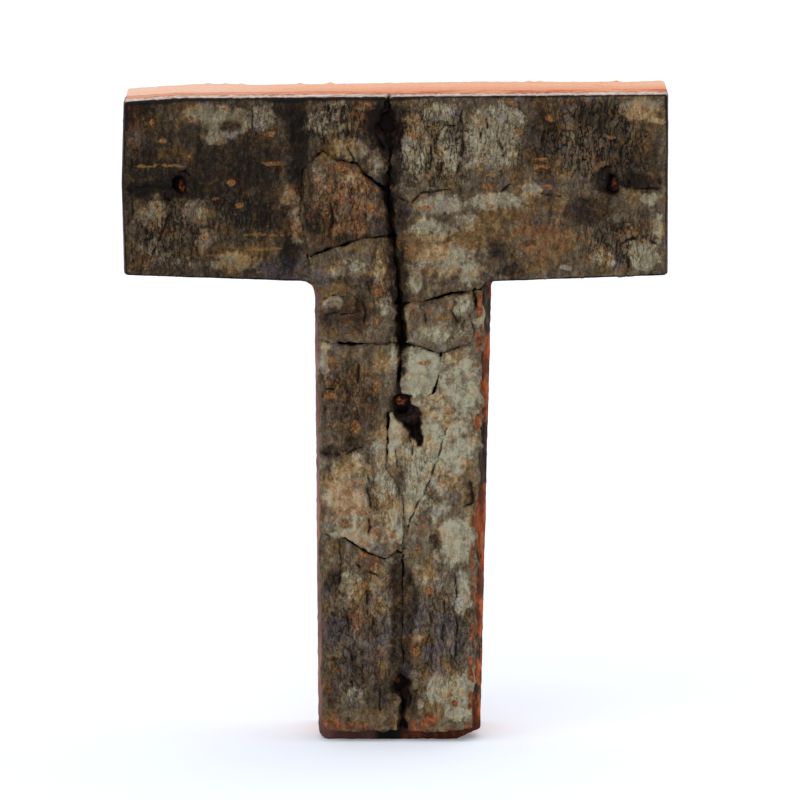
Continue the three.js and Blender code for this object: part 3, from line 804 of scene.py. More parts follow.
# The left arm's plate reaches from the fissure in the bar's middle to the sawn left end. It is the darkest of
# the nine, with one pale crust near the top, and a brad was driven near its end.
bark_plate(
    "bark_left_arm",
    ground=0.4,
    lichen=[
        (-20.8, 68.1, 2.1, 0.9, 0.75), (-17.8, 67.0, 2.9, 1.8, 0.95), (-14.1, 67.4, 1.5, 1.7, 0.85),
        (-19.3, 65.3, 1.3, 0.9, 0.6), (-6.6, 67.0, 3.4, 1.7, 0.5), (-4.6, 64.2, 2.6, 1.5, 0.6),
        (-2.1, 62.4, 1.1, 2.2, 0.55), (-5.3, 68.7, 3.2, 0.8, 0.4), (-25.8, 57.0, 1.8, 2.2, 0.55),
        (-21.2, 57.2, 1.7, 1.7, 0.65), (-20.3, 54.3, 1.3, 1.9, 0.6), (-26.1, 53.7, 1.5, 1.6, 0.4),
        (-22.7, 52.0, 4.3, 1.0, 0.4), (-17.0, 52.0, 3.6, 1.2, 0.6), (-11.4, 58.8, 1.1, 1.5, 0.55),
        (-10.4, 57.8, 0.6, 2.4, 0.55), (-26.3, 66.8, 1.1, 1.3, 0.3), (-10.6, 56.0, 1.2, 3.5, 0.45),
    ],
    stains=[
        (-26.5, 61.8, 3.0, 2.8, 0.5), (-17.6, 61.8, 6.4, 3.5, 0.5), (-14.2, 57.3, 3.2, 2.8, 0.45),
        (-10.3, 64.8, 1.2, 6.5, 0.75), (-25.9, 59.9, 2.8, 1.1, 0.9), (-22.7, 64.8, 4.3, 1.9, 0.3),
        (-11.2, 68.3, 1.3, 1.5, 0.8), (-8.8, 61.3, 1.3, 2.8, 0.4), (-11.2, 53.0, 1.0, 2.6, 0.6),
        (-1.0, 57.5, 0.9, 3.2, 0.6), (-1.0, 65.0, 0.8, 4.0, 0.6), (-27.5, 68.4, 2.0, 2.0, 0.6),
        (-17.5, 66.55, 1.25, 0.6, 1.1), (-23.2, 60.2, 2.6, 2.0, 0.8), (-1.5, 66.8, 1.3, 2.8, 1.1),
    ],
    warm=[(-28.2, 68.1, 1.4, 1.5, 0.9), (-28.4, 65.6, 0.9, 1.7, 0.5), (-3.5, 68.3, 1.4, 1.3, 0.75),
          (-2.4, 66.3, 1.3, 0.9, 0.4), (-10.4, 57.0, 1.6, 4.5, 0.5)],
    painted_sheen=[(-12.0, 51.3, 3.0, 1.5, 0.8)],
    ochre=[(-26.0, 66.5, 1.5, 1.2, 0.7), (-3.2, 66.8, 1.2, 1.6, 0.8), (-13.1, 62.4, 1.3, 0.5, 0.7),
           (-17.0, 53.0, 6.0, 1.2, 0.6), (-24.5, 63.6, 3.0, 1.0, 0.6), (-5.0, 65.0, 3.0, 2.0, 0.5)],
    furrows=[(-24.0, 54.5, 4.0, 3.5, 0.7), (-6.0, 67.0, 4.0, 2.5, 0.8), (-17.0, 57.0, 4.0, 3.0, 0.5),
             (-14.5, 67.0, 2.0, 2.0, 0.5)],
    pores=[
        (-21.4, 67.1, 0.7, 0.3), (-18.1, 68.3, 0.5, 0.3), (-24.7, 64.8, 0.5, 0.3), (-22.0, 63.3, 0.3, 0.2),
        (-17.5, 60.4, 0.6, 0.4), (-16.6, 58.0, 0.6, 0.4), (-20.4, 54.4, 0.6, 0.4), (-13.1, 65.7, 0.6, 0.4),
        (-13.1, 62.4, 1.1, 0.3), (-19.1, 58.7, 0.5, 0.2), (-26.0, 66.9, 0.4, 0.5),
    ],
    bands=[[(-28.1, 62.2), (-25.2, 62.3), (-22.3, 62.2)], [(-16.3, 54.9), (-11.8, 54.8)],
           [(-16.2, 53.3), (-11.8, 53.4)]],
    cracks=[
        [(-28.0, 64.4), (-28.1, 59.7), (-28.0, 51.2)], [(-23.7, 57.8), (-24.8, 55.0), (-26.3, 51.9)],
        [(-15.2, 68.8), (-15.1, 65.8)], [(-7.1, 68.9), (-6.8, 66.3)], [(-5.7, 68.9), (-5.8, 66.4)],
        [(-5.1, 64.4), (-3.8, 62.3)], [(-27.9, 59.9), (-24.4, 59.9)],
    ],
    gouges=[(-0.6, 66.0, 1.0, 2.2, 1.2), (-23.9, 59.2, 0.7, 0.8, 0.8), (-22.6, 61.0, 0.5, 0.7, 0.8)],
)

# The plate in the bar's middle stands proud between the arms, over the stem's root. An arched crack frees it
# from the left arm, and its weathered face is warmer than the rest.
bark_plate(
    "bark_bar_centre",
    ground=0.5,
    lichen=[(-5.3, 60.2, 2.1, 1.7, 0.45), (-3.7, 57.0, 1.7, 1.5, 0.35), (-7.8, 60.8, 1.1, 2.2, 0.3)],
    stains=[(-8.2, 55.9, 1.5, 1.5, 0.5), (-4.8, 54.5, 3.2, 0.6, 0.6), (-1.6, 55.9, 0.9, 1.7, 0.5),
            (-9.2, 58.5, 0.8, 3.5, 0.4)],
    warm=[(-5.3, 58.6, 4.5, 4.9, 0.65)],
    ochre=[(-4.0, 60.5, 2.5, 1.2, 0.6), (-4.5, 55.5, 3.0, 1.0, 0.6)],
    furrows=[(-5.5, 58.0, 4.0, 4.0, 0.6)],
    pores=[(-5.7, 62.1, 1.1, 0.5), (-2.6, 57.8, 0.4, 0.9), (-5.8, 59.2, 0.4, 0.6)],
    cracks=[[(-6.8, 59.5), (-6.6, 57.0), (-6.9, 54.3)], [(-4.6, 59.9), (-4.8, 58.1)]],
)

# The right arm's plate runs from the fissure to the sawn right end and down to the shoulder of the stem. Pale
# crusts cover its left half, dark fibres its right half, and a brad sits near its end.
bark_plate(
    "bark_right_arm",
    ground=0.53,
    lichen=[
        (2.2, 64.0, 1.8, 4.3, 0.6), (4.8, 67.9, 2.1, 1.2, 0.7), (5.5, 63.4, 1.4, 3.2, 0.5),
        (10.2, 65.1, 2.9, 3.7, 0.95), (11.7, 67.2, 2.1, 1.6, 0.75), (26.1, 68.3, 2.6, 1.3, 0.75),
        (27.8, 67.0, 0.9, 0.5, 0.8), (4.8, 58.0, 3.2, 1.2, 0.7), (11.2, 58.4, 3.7, 1.2, 0.7),
        (14.4, 59.7, 1.2, 1.1, 0.6), (4.0, 55.4, 3.2, 1.5, 0.55), (8.0, 56.3, 2.1, 1.3, 0.5),
        (5.4, 52.2, 3.6, 2.4, 0.6), (8.0, 50.9, 1.6, 1.3, 0.7), (2.2, 49.8, 1.1, 1.6, 0.6),
        (26.7, 52.7, 1.9, 1.8, 0.85), (28.1, 55.8, 0.6, 1.3, 0.75), (27.2, 58.5, 1.1, 0.8, 0.7),
        (22.6, 52.4, 1.8, 1.2, 0.55), (18.2, 51.3, 1.1, 0.5, 0.6), (19.7, 64.5, 1.1, 2.7, 0.3),
    ],
    stains=[
        (15.8, 65.1, 1.7, 4.9, 0.55), (21.9, 67.4, 3.2, 1.9, 0.6), (25.1, 63.4, 3.2, 3.0, 0.5),
        (20.8, 57.5, 2.4, 1.9, 0.7), (25.3, 60.6, 3.2, 1.0, 0.95), (10.8, 53.3, 1.0, 1.3, 0.7),
        (0.5, 57.0, 1.1, 2.6, 0.7), (17.6, 68.8, 3.2, 0.6, 0.5), (23.2, 55.2, 1.5, 1.1, 0.4),
        (12.3, 51.1, 1.7, 0.9, 0.5), (0.1, 64.0, 0.6, 4.5, 0.7), (0.6, 51.0, 0.7, 3.6, 0.8),
        (22.8, 60.6, 2.2, 1.8, 0.8), (0.4, 66.4, 1.1, 2.6, 1.0),
    ],
    warm=[
        (15.7, 54.3, 3.2, 2.2, 0.75), (18.2, 69.1, 1.6, 0.5, 0.7), (26.1, 68.5, 0.7, 0.4, 0.9),
        (20.3, 54.1, 0.9, 0.5, 0.7), (3.4, 53.8, 2.4, 1.1, 0.35), (25.1, 55.2, 1.1, 0.6, 0.5),
        (17.6, 52.0, 1.9, 0.9, 0.4), (21.9, 64.0, 1.7, 2.2, 0.25),
    ],
    painted_sheen=[(0.8, 57.0, 0.9, 2.2, 0.5), (16.0, 59.9, 1.3, 0.9, 0.5)],
    ochre=[(3.5, 53.8, 3.0, 1.6, 0.9), (8.5, 54.6, 3.0, 1.4, 0.8), (12.0, 56.0, 3.5, 1.6, 0.7),
           (25.5, 54.5, 2.5, 1.0, 0.6), (26.5, 67.5, 2.5, 1.0, 0.7), (16.0, 61.5, 1.5, 2.0, 0.6),
           (21.5, 52.5, 2.0, 1.0, 0.7), (16.5, 53.5, 3.5, 2.0, 0.6), (3.0, 66.5, 2.5, 2.0, 0.4)],
    furrows=[(4.0, 64.5, 5.0, 5.0, 0.9), (11.0, 65.0, 4.0, 4.0, 0.6), (21.0, 65.0, 6.0, 4.5, 1.0),
             (24.0, 54.0, 4.0, 3.0, 0.8)],
    pores=[
        (2.1, 65.6, 0.9, 0.4), (13.2, 65.8, 0.6, 0.4), (3.7, 61.1, 0.3, 0.5), (8.4, 63.3, 0.5, 0.3),
        (10.1, 61.2, 0.7, 0.2), (9.8, 60.1, 0.9, 0.4), (15.5, 62.9, 1.0, 0.2), (15.7, 62.1, 1.2, 0.3),
        (16.1, 60.0, 1.0, 0.4), (16.4, 67.3, 0.7, 0.5), (12.3, 69.1, 0.5, 0.3), (23.1, 65.3, 0.5, 0.3),
        (3.2, 57.7, 0.9, 0.4), (10.2, 57.9, 0.6, 0.3),
    ],
    cracks=[
        [(7.3, 68.9), (7.1, 66.7), (7.3, 64.4), (6.6, 61.7), (8.2, 60.7)],
        [(2.2, 66.6), (4.5, 66.4), (6.8, 66.6)],
        [(-0.3, 59.5), (1.5, 58.2), (2.6, 59.3), (6.0, 59.7)], [(11.3, 59.5), (12.5, 60.4), (12.9, 61.0)],
        [(15.4, 59.4), (17.8, 59.0)], [(24.0, 53.7), (26.5, 54.8), (28.3, 53.6)],
        [(24.8, 53.3), (24.9, 51.0)],
        [(15.8, 66.4), (15.8, 64.0)], [(24.5, 59.9), (28.5, 59.8)], [(4.0, 64.5), (3.8, 62.4)],
        [(5.1, 62.9), (4.8, 61.2)], [(9.1, 66.1), (9.0, 64.0)], [(9.8, 67.4), (9.7, 66.1)],
        [(11.2, 65.1), (11.4, 63.1)],
    ],
    gouges=[(-0.2, 66.0, 0.9, 2.2, 1.2), (22.6, 61.4, 0.5, 0.8, 0.9), (24.6, 60.2, 0.8, 0.4, 0.5)],
)

# Six plates cover the stem. This first one hangs under the bar on the left of the fissure, wrinkled across
# and stained dark, and ends at a crack that gapes like a smile.
bark_plate(
    "bark_stem_upper_left",
    ground=0.55,
    lichen=[(-6.5, 47.6, 1.3, 0.8, 0.6), (-4.8, 51.3, 2.6, 1.3, 0.45), (-1.6, 51.1, 0.7, 2.8, 0.6),
            (-1.0, 47.3, 0.9, 1.3, 0.5)],
    stains=[(-4.8, 46.6, 2.4, 2.2, 0.6), (-6.9, 45.2, 1.3, 1.1, 0.4), (-3.2, 49.5, 1.7, 0.9, 0.4),
            (-5.8, 50.0, 1.5, 0.6, 0.4)],
    warm=[(-1.9, 48.7, 0.6, 1.0, 0.8), (-6.6, 44.5, 0.6, 0.4, 0.8), (-4.2, 44.6, 0.6, 0.4, 0.8),
          (-3.7, 45.7, 2.1, 1.3, 0.35)],
    painted_sheen=[(-7.8, 50.6, 1.5, 1.7, 0.7)],
    ochre=[(-6.5, 44.6, 2.0, 0.6, 0.8), (-1.5, 50.5, 0.8, 2.5, 0.8), (-6.0, 49.0, 2.0, 0.8, 0.6),
           (-4.0, 46.0, 2.0, 1.0, 0.5)],
    furrows=[(-1.5, 50.0, 1.5, 4.0, 0.5)],
    pores=[(-1.9, 45.6, 0.3, 0.6), (-2.0, 48.8, 0.4, 0.4), (-4.6, 46.5, 0.7, 0.2)],
    bands=[[(-6.1, 53.1), (-3.5, 53.7)]],
    cracks=[[(-8.0, 48.1), (-5.3, 48.3)], [(-7.5, 46.3), (-3.7, 46.6)], [(-3.5, 47.9), (-3.1, 44.6)]],
)

# The long plate on the left of the stem is stained dark beside the brad. Lower down it turns tan and pale,
# and it ends in a scalloped edge over the plate below.
bark_plate(
    "bark_stem_middle_left",
    ground=0.62,
    lichen=[
        (-4.5, 26.0, 4.5, 5.0, 0.5),
        (-7.5, 41.2, 0.6, 2.2, 0.8), (-0.3, 42.0, 0.6, 1.5, 0.6), (-4.8, 26.3, 2.8, 3.2, 0.45),
        (-4.8, 22.0, 3.8, 1.5, 0.7), (-1.0, 29.5, 1.7, 5.4, 0.7), (0.0, 24.1, 1.1, 3.2, 0.75),
        (-5.9, 29.5, 1.7, 1.1, 0.5), (-4.0, 30.9, 0.7, 0.5, 0.7), (-1.6, 40.1, 1.1, 1.9, 0.3),
    ],
    stains=[(-4.6, 37.1, 3.6, 5.0, 0.55), (-4.3, 32.2, 1.5, 1.5, 0.6), (-6.4, 31.7, 2.1, 0.6, 0.8),
            (-3.2, 39.3, 1.9, 2.6, 0.35), (-2.4, 27.4, 0.7, 1.7, 0.6), (-7.5, 37.1, 0.6, 2.2, 0.4)],
    warm=[(-5.3, 26.3, 3.0, 2.6, 0.75), (-3.2, 22.5, 3.2, 1.9, 0.6), (-6.7, 41.3, 0.4, 0.8, 0.8),
          (-4.8, 37.6, 3.2, 3.2, 0.35), (0.0, 22.0, 0.9, 1.5, 0.5)],
    ochre=[(-1.5, 41.5, 0.8, 1.5, 0.7), (-3.5, 40.0, 1.5, 0.8, 0.7), (-1.0, 32.5, 1.0, 2.5, 0.8),
           (-5.0, 30.0, 2.0, 1.0, 0.7), (-6.5, 27.0, 1.5, 2.5, 0.7), (-1.0, 25.0, 1.5, 3.0, 0.4)],
    furrows=[(-1.0, 27.0, 2.0, 5.0, 0.5), (-5.0, 37.0, 3.0, 4.0, 0.4)],
    pores=[
        (-6.6, 41.3, 0.4, 0.5), (-6.9, 37.6, 0.9, 0.4), (-4.3, 34.2, 0.6, 1.0), (-2.1, 38.6, 0.5, 0.8),
        (-2.0, 40.8, 0.4, 0.4), (-5.6, 31.2, 0.3, 0.4), (-3.2, 25.0, 1.3, 0.4), (-5.3, 23.6, 0.9, 0.4),
        (-0.2, 22.4, 0.5, 0.5),
    ],
    cracks=[
        [(-7.5, 38.3), (-6.3, 38.2)], [(-3.1, 29.5), (-2.4, 25.2)], [(-3.9, 41.2), (-4.0, 38.7)],
        [(-8.0, 31.5), (-5.3, 31.2), (-3.5, 31.9)], [(-2.7, 24.5), (-2.8, 22.5)],
    ],
)

# The plate at the left of the foot lies lower than the one above it. Its fibres have split, and a blue-grey
# painted sheen stands for the lamps' reflection where the lacquer has pooled.
bark_plate(
    "bark_stem_lower_left",
    ground=0.58,
    lichen=[(-4.6, 17.6, 1.5, 3.2, 0.5), (-1.6, 17.6, 1.1, 2.6, 0.45), (-6.9, 20.9, 0.9, 0.9, 0.4),
            (-4.1, 5.1, 1.7, 1.3, 0.45), (-3.7, 13.3, 1.5, 1.5, 0.35), (-1.0, 14.4, 0.9, 1.5, 0.3)],
    stains=[
        (-6.7, 17.4, 1.0, 1.5, 0.75), (-6.1, 12.0, 1.9, 2.2, 0.4), (-2.1, 12.0, 1.5, 1.5, 0.3),
        (-4.8, 7.9, 3.2, 2.6, 0.35), (-1.1, 5.7, 1.5, 2.2, 0.5), (-7.0, 4.6, 1.3, 1.7, 0.4),
        (0.0, 16.5, 0.6, 4.3, 0.7), (0.3, 11.5, 0.7, 5.0, 0.8),
    ],
    warm=[(-2.7, 20.2, 1.3, 1.1, 0.6), (-4.1, 13.3, 1.1, 1.5, 0.5), (-7.0, 5.7, 0.9, 3.2, 0.3)],
    painted_sheen=[(-6.3, 12.0, 1.9, 1.9, 0.8), (-1.1, 11.1, 1.3, 1.9, 0.7), (-4.0, 9.0, 5.0, 8.0, 0.25)],
    bared=[(-4.8, 1.7, 5.0, 0.6, 0.55), (-6.9, 2.2, 1.4, 0.6, 0.6)],
    ochre=[(-2.5, 18.5, 1.5, 1.0, 0.5), (-3.0, 15.5, 1.5, 2.0, 0.5), (-1.8, 10.0, 1.2, 0.5, 0.8)],
    furrows=[(-4.0, 12.0, 4.5, 9.0, 0.5)],
    pores=[(-3.3, 20.3, 0.5, 0.5), (-2.4, 18.8, 0.5, 0.4), (-3.2, 17.1, 0.4, 0.5)],
    bands=[[(-2.8, 10.1), (-1.6, 10.2), (-0.2, 10.6)], [(-7.5, 9.4), (-5.5, 9.3)]],
    cracks=[
        [(-5.9, 21.9), (-5.8, 19.3), (-6.0, 16.2)], [(-4.1, 19.6), (-2.9, 18.5), (-1.4, 17.8)],
        [(-3.0, 16.5), (-2.8, 13.3)], [(-5.1, 14.2), (-5.0, 11.7)], [(-1.6, 5.7), (-1.5, 2.9)],
        [(-4.6, 10.0), (-4.4, 5.7)],
    ],
)

# On the right of the fissure a small proud plate sits under the shoulder, ringed by thin cracks.
# It is tan, with one cork pore in its middle.
bark_plate(
    "bark_stem_upper_right",
    ground=0.62,
    lichen=[(3.8, 44.3, 2.8, 1.3, 0.45), (7.2, 47.3, 0.9, 1.5, 0.5), (7.0, 44.1, 1.1, 1.1, 0.4)],
    stains=[(6.5, 46.2, 0.6, 1.3, 0.5), (3.8, 47.6, 1.5, 0.4, 0.4), (7.0, 48.6, 1.5, 0.3, 0.5)],
    warm=[(2.2, 46.8, 1.3, 1.3, 0.45), (5.6, 47.2, 0.5, 0.3, 0.8)],
    ochre=[(3.0, 49.0, 3.0, 0.8, 0.8), (4.8, 45.9, 1.5, 0.7, 0.6)],
    furrows=[(7.5, 46.0, 1.5, 2.0, 0.4)],
    pores=[(4.8, 45.9, 0.9, 0.4)],
    cracks=[[(6.1, 47.0), (6.7, 45.3)], [(3.1, 46.8), (3.3, 45.5)]],
)

# The pale plate is a smooth flake wholly covered in lichen, cracked free on all sides above the stem's brad.
# It has one long cork pore.
bark_plate(
    "bark_stem_pale_plate",
    ground=0.66,
    lichen=[(3.2, 40.1, 1.9, 2.8, 0.95), (1.6, 39.8, 1.1, 2.8, 0.9)],
    stains=[],
    warm=[(0.9, 39.5, 0.6, 1.1, 0.5), (1.0, 38.0, 0.6, 0.5, 0.4)],
    ochre=[],
    furrows=[],
    pores=[(3.1, 41.1, 0.9, 0.3)],
    cracks=[],
)

# The last plate runs down the whole right side of the stem. It has chipped back from the sawn edge and from
# the foot, and a wedge is torn out of it below the stem's brad.
bark_plate(
    "bark_stem_right",
    ground=0.64,
    lichen=[
        (5.5, 38.0, 4.5, 6.0, 0.5), (4.0, 31.0, 4.5, 4.5, 0.55),
        (9.2, 46.6, 0.7, 1.9, 0.8), (7.5, 38.7, 1.7, 3.9, 0.65), (7.0, 32.8, 2.1, 2.8, 0.6),
        (3.2, 32.8, 2.1, 2.6, 0.7), (2.2, 27.4, 1.5, 4.3, 0.7), (6.4, 29.5, 1.5, 1.3, 0.6),
        (4.8, 25.2, 1.7, 1.5, 0.5), (6.6, 22.0, 2.1, 2.8, 0.95), (4.8, 20.3, 0.9, 0.9, 0.8),
        (7.3, 16.3, 1.0, 2.6, 0.75), (2.2, 11.4, 1.1, 1.3, 0.4), (4.5, 5.7, 1.1, 1.7, 0.9),
        (6.8, 4.4, 2.1, 2.4, 0.95), (8.1, 6.8, 0.9, 1.5, 0.9), (2.9, 4.1, 0.5, 0.6, 0.7),
        (2.7, 18.2, 1.1, 2.2, 0.45), (4.9, 17.6, 1.1, 1.5, 0.35), (-0.2, 33.0, 1.0, 3.0, 0.7),
    ],
    stains=[
        (8.1, 26.9, 0.6, 1.7, 0.6), (4.6, 21.4, 0.6, 1.7, 0.85), (5.0, 12.2, 3.6, 3.7, 0.3),
        (7.0, 11.1, 1.5, 3.0, 0.3), (1.6, 15.5, 0.9, 4.3, 0.8), (1.8, 4.6, 1.0, 2.4, 0.8),
        (3.1, 8.9, 1.3, 1.7, 0.4), (1.0, 5.7, 0.9, 1.9, 0.9), (4.0, 26.8, 0.9, 0.9, 0.4),
        (1.3, 11.5, 0.7, 5.0, 0.8),
    ],
    warm=[(5.0, 27.8, 0.7, 0.8, 0.9), (6.5, 27.9, 1.3, 1.1, 0.6), (7.6, 30.4, 0.4, 0.5, 0.7),
          (2.7, 24.1, 1.5, 2.2, 0.35), (2.3, 11.1, 1.2, 1.5, 0.5), (3.2, 18.2, 1.1, 1.3, 0.4)],
    painted_sheen=[(5.9, 11.7, 2.6, 3.2, 0.8), (4.0, 12.0, 4.5, 7.0, 0.3)],
    bared=[(3.8, 2.3, 1.0, 0.9, 1.0), (6.4, 4.2, 0.4, 0.4, 1.0), (2.2, 1.8, 2.0, 0.7, 0.6)],
    ochre=[(3.2, 33.0, 1.5, 2.0, 0.5), (3.5, 18.0, 1.0, 2.0, 0.7), (5.0, 35.5, 1.5, 1.2, 0.5),
           (2.3, 10.5, 1.5, 1.5, 0.7)],
    furrows=[(5.0, 12.0, 4.0, 9.0, 0.5), (2.5, 29.0, 2.0, 5.0, 0.5)],
    worn=1.0,
    pores=[
        (5.8, 35.8, 0.7, 0.4), (8.2, 23.6, 0.4, 0.2), (7.4, 22.1, 0.4, 0.3), (8.2, 20.3, 0.4, 0.2),
        (3.6, 18.4, 0.3, 0.6), (3.6, 16.5, 0.6, 0.5), (2.4, 21.2, 0.4, 0.4), (2.1, 9.8, 0.7, 0.6),
        (6.6, 6.3, 0.3, 0.5), (5.9, 5.2, 0.4, 0.3), (6.4, 4.2, 0.6, 0.5), (5.8, 39.3, 0.5, 0.2),
    ],
    cracks=[
        [(5.6, 34.0), (4.9, 31.7), (4.1, 29.3), (2.7, 26.1), (1.7, 24.1), (1.2, 22.5)],
        [(1.5, 33.6), (2.1, 30.7)], [(0.2, 32.0), (0.2, 29.4)], [(6.6, 14.8), (6.7, 11.1), (6.3, 8.3)],
        [(7.7, 29.5), (8.7, 29.8)], [(8.1, 28.5), (8.4, 25.4)], [(7.0, 25.4), (8.8, 26.1)],
        [(6.5, 18.7), (6.7, 15.5)], [(3.8, 14.4), (4.0, 10.0)], [(5.3, 15.5), (5.2, 11.1)],
        [(2.0, 19.8), (1.6, 17.1)],
    ],
    gouges=[(1.5, 35.6, 1.2, 1.0, 1.6), (1.9, 34.6, 0.9, 1.0, 1.6), (2.3, 33.6, 0.6, 0.9, 1.5),
            (2.7, 32.7, 0.35, 0.7, 1.2), (1.0, 4.9, 0.7, 1.2, 1.2)],
)

# Five small steel brads pin the bark to the wood. Their domed heads were driven under the face of the bark,
# a little askew, and have rusted at the bottom of their pits.
BRAD_STEPS = 40                    # corners round a brad
BRAD_RINGS = 6                     # rings from the middle of a head to its edge
HEAD_RADIUS = 1.1
HEAD_THICKNESS = 0.5
HEAD_DOME = 0.22
SHANK_RADIUS = 0.6
POINT_LENGTH = 1.6
HAMMER_MARK = 0.05


def brad(node, lean_right, lean_up, rust):
    """A brad on its CAD node's axis. The leans say how far the head rises to the right and upwards, per mm.
    The rust is a patch on the head: (across, up, half width, half height, strength)."""
    low, high = (np.array(corner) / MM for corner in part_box(node))
    axis_x, axis_z = (low[0] + high[0]) / 2, (low[2] + high[2]) / 2
    head_top, tip = low[1], high[1]
    shares = np.linspace(0, 1, BRAD_RINGS)
    profile = [(HEAD_RADIUS * s, head_top + HEAD_DOME * (s ** 2 - 1)) for s in shares]
    profile += [
        (HEAD_RADIUS, head_top + HEAD_THICKNESS),
        (SHANK_RADIUS, head_top + HEAD_THICKNESS),
        (SHANK_RADIUS, tip - POINT_LENGTH),
        (0, tip),
    ]
    shape = bmesh.new()
    rows = [shape.verts.new((radius * MM, depth * MM, 0)) for radius, depth in profile]
    edges = [shape.edges.new(pair) for pair in zip(rows, rows[1:])]
    bmesh.ops.spin(shape, geom=rows + edges, cent=(0, 0, 0), axis=(0, 1, 0), angle=math.tau,
                   steps=BRAD_STEPS, use_merge=True)
    bmesh.ops.remove_doubles(shape, verts=shape.verts, dist=EDGE_TOLERANCE * MM)
    bmesh.ops.recalc_face_normals(shape, faces=shape.faces)
    mesh = bpy.data.meshes.new(node + "_rusted")
    shape.to_mesh(mesh)
    shape.free()
    piece = bpy.data.objects.new(node + "_rusted", mesh)
    bpy.context.scene.collection.objects.link(piece)
    points = points_of(piece)
    on_head = faded(points[:, 1], head_top + 2 * HEAD_THICKNESS, head_top + HEAD_THICKNESS)
    points[:, 1] += on_head * HAMMER_MARK * lumps(points, (0.7, 0.7, 0.7), seed=51)
    points[:, 1] -= on_head * (lean_right * points[:, 0] + lean_up * points[:, 2])
    paint(piece, "rust", patches(points, [rust]))
    carve(piece, points + np.array((axis_x, 0, axis_z)))
    mesh.shade_smooth()
    mesh.materials.append(rusty_steel.material)
    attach(piece, "root")
    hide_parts(node)


rusty_steel = Finish("rusty_steel")
rust_place = rusty_steel.place()
rust_patch = rusty_steel.grain(rust_place, (0.5, 0.5, 0.5), detail=4.0, rough=0.6)
rust_grit = rusty_steel.grain(rust_place, (0.35, 0.35, 0.35), detail=3.0, shift=3.0)
rust_colour = rusty_steel.tones(rust_grit, [
    (0.35, 30, 14, 10),
    (0.5, 74, 35, 22),
    (0.65, 140, 76, 44),
])
rust_share = rusty_steel.scaled(rust_patch, 1.4, rusty_steel.painted("rust"))
rust_share = rusty_steel.between(rust_share, 1.0, 1.8)
rusty_steel.set(
    base_color=rusty_steel.over(tone(18, 12, 12), rust_share, rust_colour),
    roughness=rusty_steel.scaled(rust_grit, 0.4, 0.5),
    specular_ior_level=0.03,
    normal=rusty_steel.bump(rust_grit, 0.06, 0.8),
)
brad("brad_left_arm", lean_right=0.5, lean_up=0.1, rust=(0.25, -0.15, 0.35, 1.0, 1.2))
brad("brad_right_arm", lean_right=0.3, lean_up=-0.3, rust=(0.3, -0.25, 0.4, 0.8, 1.1))
brad("brad_top", lean_right=-0.2, lean_up=-0.3, rust=(0.3, -0.4, 0.4, 0.3, 0.0))
brad("brad_stem", lean_right=-0.1, lean_up=0.4, rust=(-0.2, 0.3, 0.9, 0.6, 1.0))
brad("brad_foot", lean_right=-0.3, lean_up=0.2, rust=(-0.5, 0.2, 0.4, 0.4, 0.9))

# The studio is a wide white floor under soft light from all round, with the larger lamps above and in front.
# The floor looks white to the camera and still takes the letter's shadow.
FLOOR_REACH = 6.0
FLOOR_GLOW = 0.16
WORLD_LIGHT = 0.42
KEY_STRENGTH = 1.3
KEY_SOFTNESS = 70
KEY_TILT = (48, 0, -18)            # from above, in front and a little to the left, in degrees
TOP_STRENGTH = 1.2
TOP_SOFTNESS = 60
TOP_TILT = (-12, 10, 0)


def seen_directly(tree):
    """1 for what the camera, a mirror or a glass sees, 0 for the light that a surface passes on."""
    path = tree.nodes.new("ShaderNodeLightPath")
    seen = path.outputs["Is Camera Ray"]
    for ray in ("Is Glossy Ray", "Is Transmission Ray"):
        either = tree.nodes.new("ShaderNodeMath")
        either.operation = "MAXIMUM"
        tree.links.new(seen, either.inputs[0])
        tree.links.new(path.outputs[ray], either.inputs[1])
        seen = either.outputs[0]
    return seen


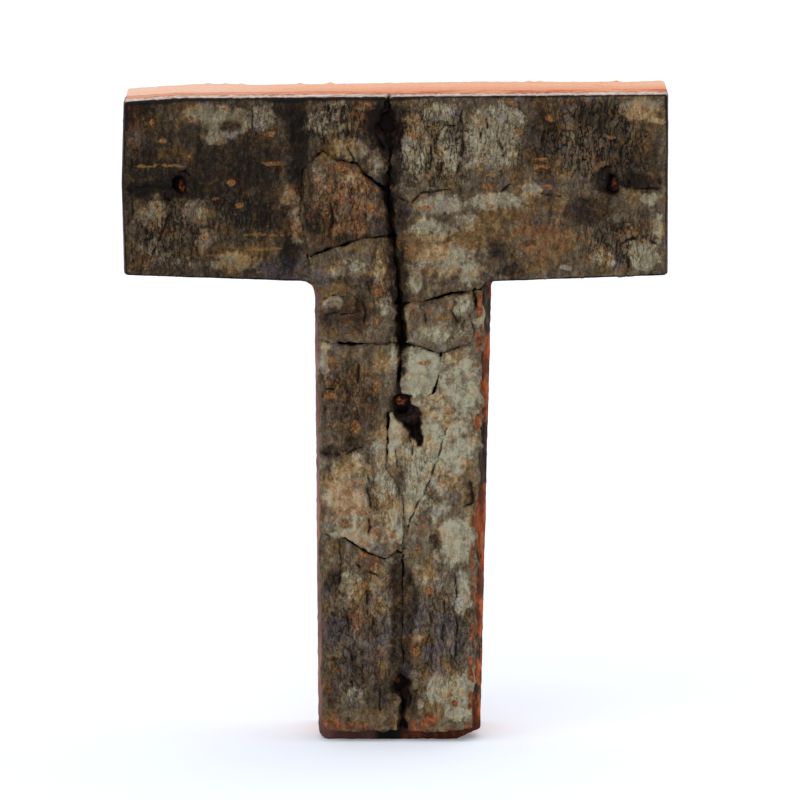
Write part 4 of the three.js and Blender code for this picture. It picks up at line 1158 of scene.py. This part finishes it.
def soft_lamp(name, strength, softness, tilt):
    lamp = bpy.data.lights.new(name, "SUN")
    lamp.energy = strength
    lamp.angle = math.radians(softness)
    holder = bpy.data.objects.new(name, lamp)
    holder.rotation_euler = [math.radians(angle) for angle in tilt]
    bpy.context.scene.collection.objects.link(holder)


floor_mesh = bpy.data.meshes.new("floor")
floor_corners = [(x * FLOOR_REACH, y * FLOOR_REACH, 0) for x, y in ((-1, -1), (1, -1), (1, 1), (-1, 1))]
floor_mesh.from_pydata(floor_corners, [], [(0, 1, 2, 3)])
floor = bpy.data.objects.new("floor", floor_mesh)
bpy.context.scene.collection.objects.link(floor)
paper = Finish("white_paper")
paper_place = paper.place()
paper_tooth = paper.grain(paper_place, (0.5, 0.5, 0.5))
paper.set(
    base_color=tone(238, 244, 255),
    roughness=0.9,
    normal=paper.bump(paper_tooth, 0.02, 0.3),
    emission_color=tone(255, 255, 255),
    emission_strength=paper.scaled(seen_directly(paper.tree), FLOOR_GLOW),
)
floor_mesh.materials.append(paper.material)

soft_lamp("key_light", KEY_STRENGTH, KEY_SOFTNESS, KEY_TILT)
soft_lamp("top_light", TOP_STRENGTH, TOP_SOFTNESS, TOP_TILT)
world = bpy.data.worlds.new("studio")
bpy.context.scene.world = world
world.use_nodes = True
sky_light = world.node_tree.nodes["Background"]
sky_strength = world.node_tree.nodes.new("ShaderNodeMapRange")
world.node_tree.links.new(seen_directly(world.node_tree), sky_strength.inputs["Value"])
sky_strength.inputs["To Min"].default_value = WORLD_LIGHT
world.node_tree.links.new(sky_strength.outputs[0], sky_light.inputs["Strength"])
sky_light.inputs["Color"].default_value = tone(244, 249, 255)

# The camera stands a metre off, a little above the letter, and looks down on it by 7.5 degrees through a
# long lens, as the photograph was taken.
CAMERA_PLACE = (0.00056, -1.0, 0.1671)
CAMERA_PITCH = 7.46
CAMERA_LENS = 421.2
camera = bpy.data.cameras.new("camera")
camera.lens = CAMERA_LENS
camera_holder = bpy.data.objects.new("camera", camera)
camera_holder.location = CAMERA_PLACE
camera_holder.rotation_euler = (math.radians(90 - CAMERA_PITCH), 0, 0)
bpy.context.scene.collection.objects.link(camera_holder)
bpy.context.scene.camera = camera_holder
bpy.context.scene.view_settings.view_transform = "Standard"
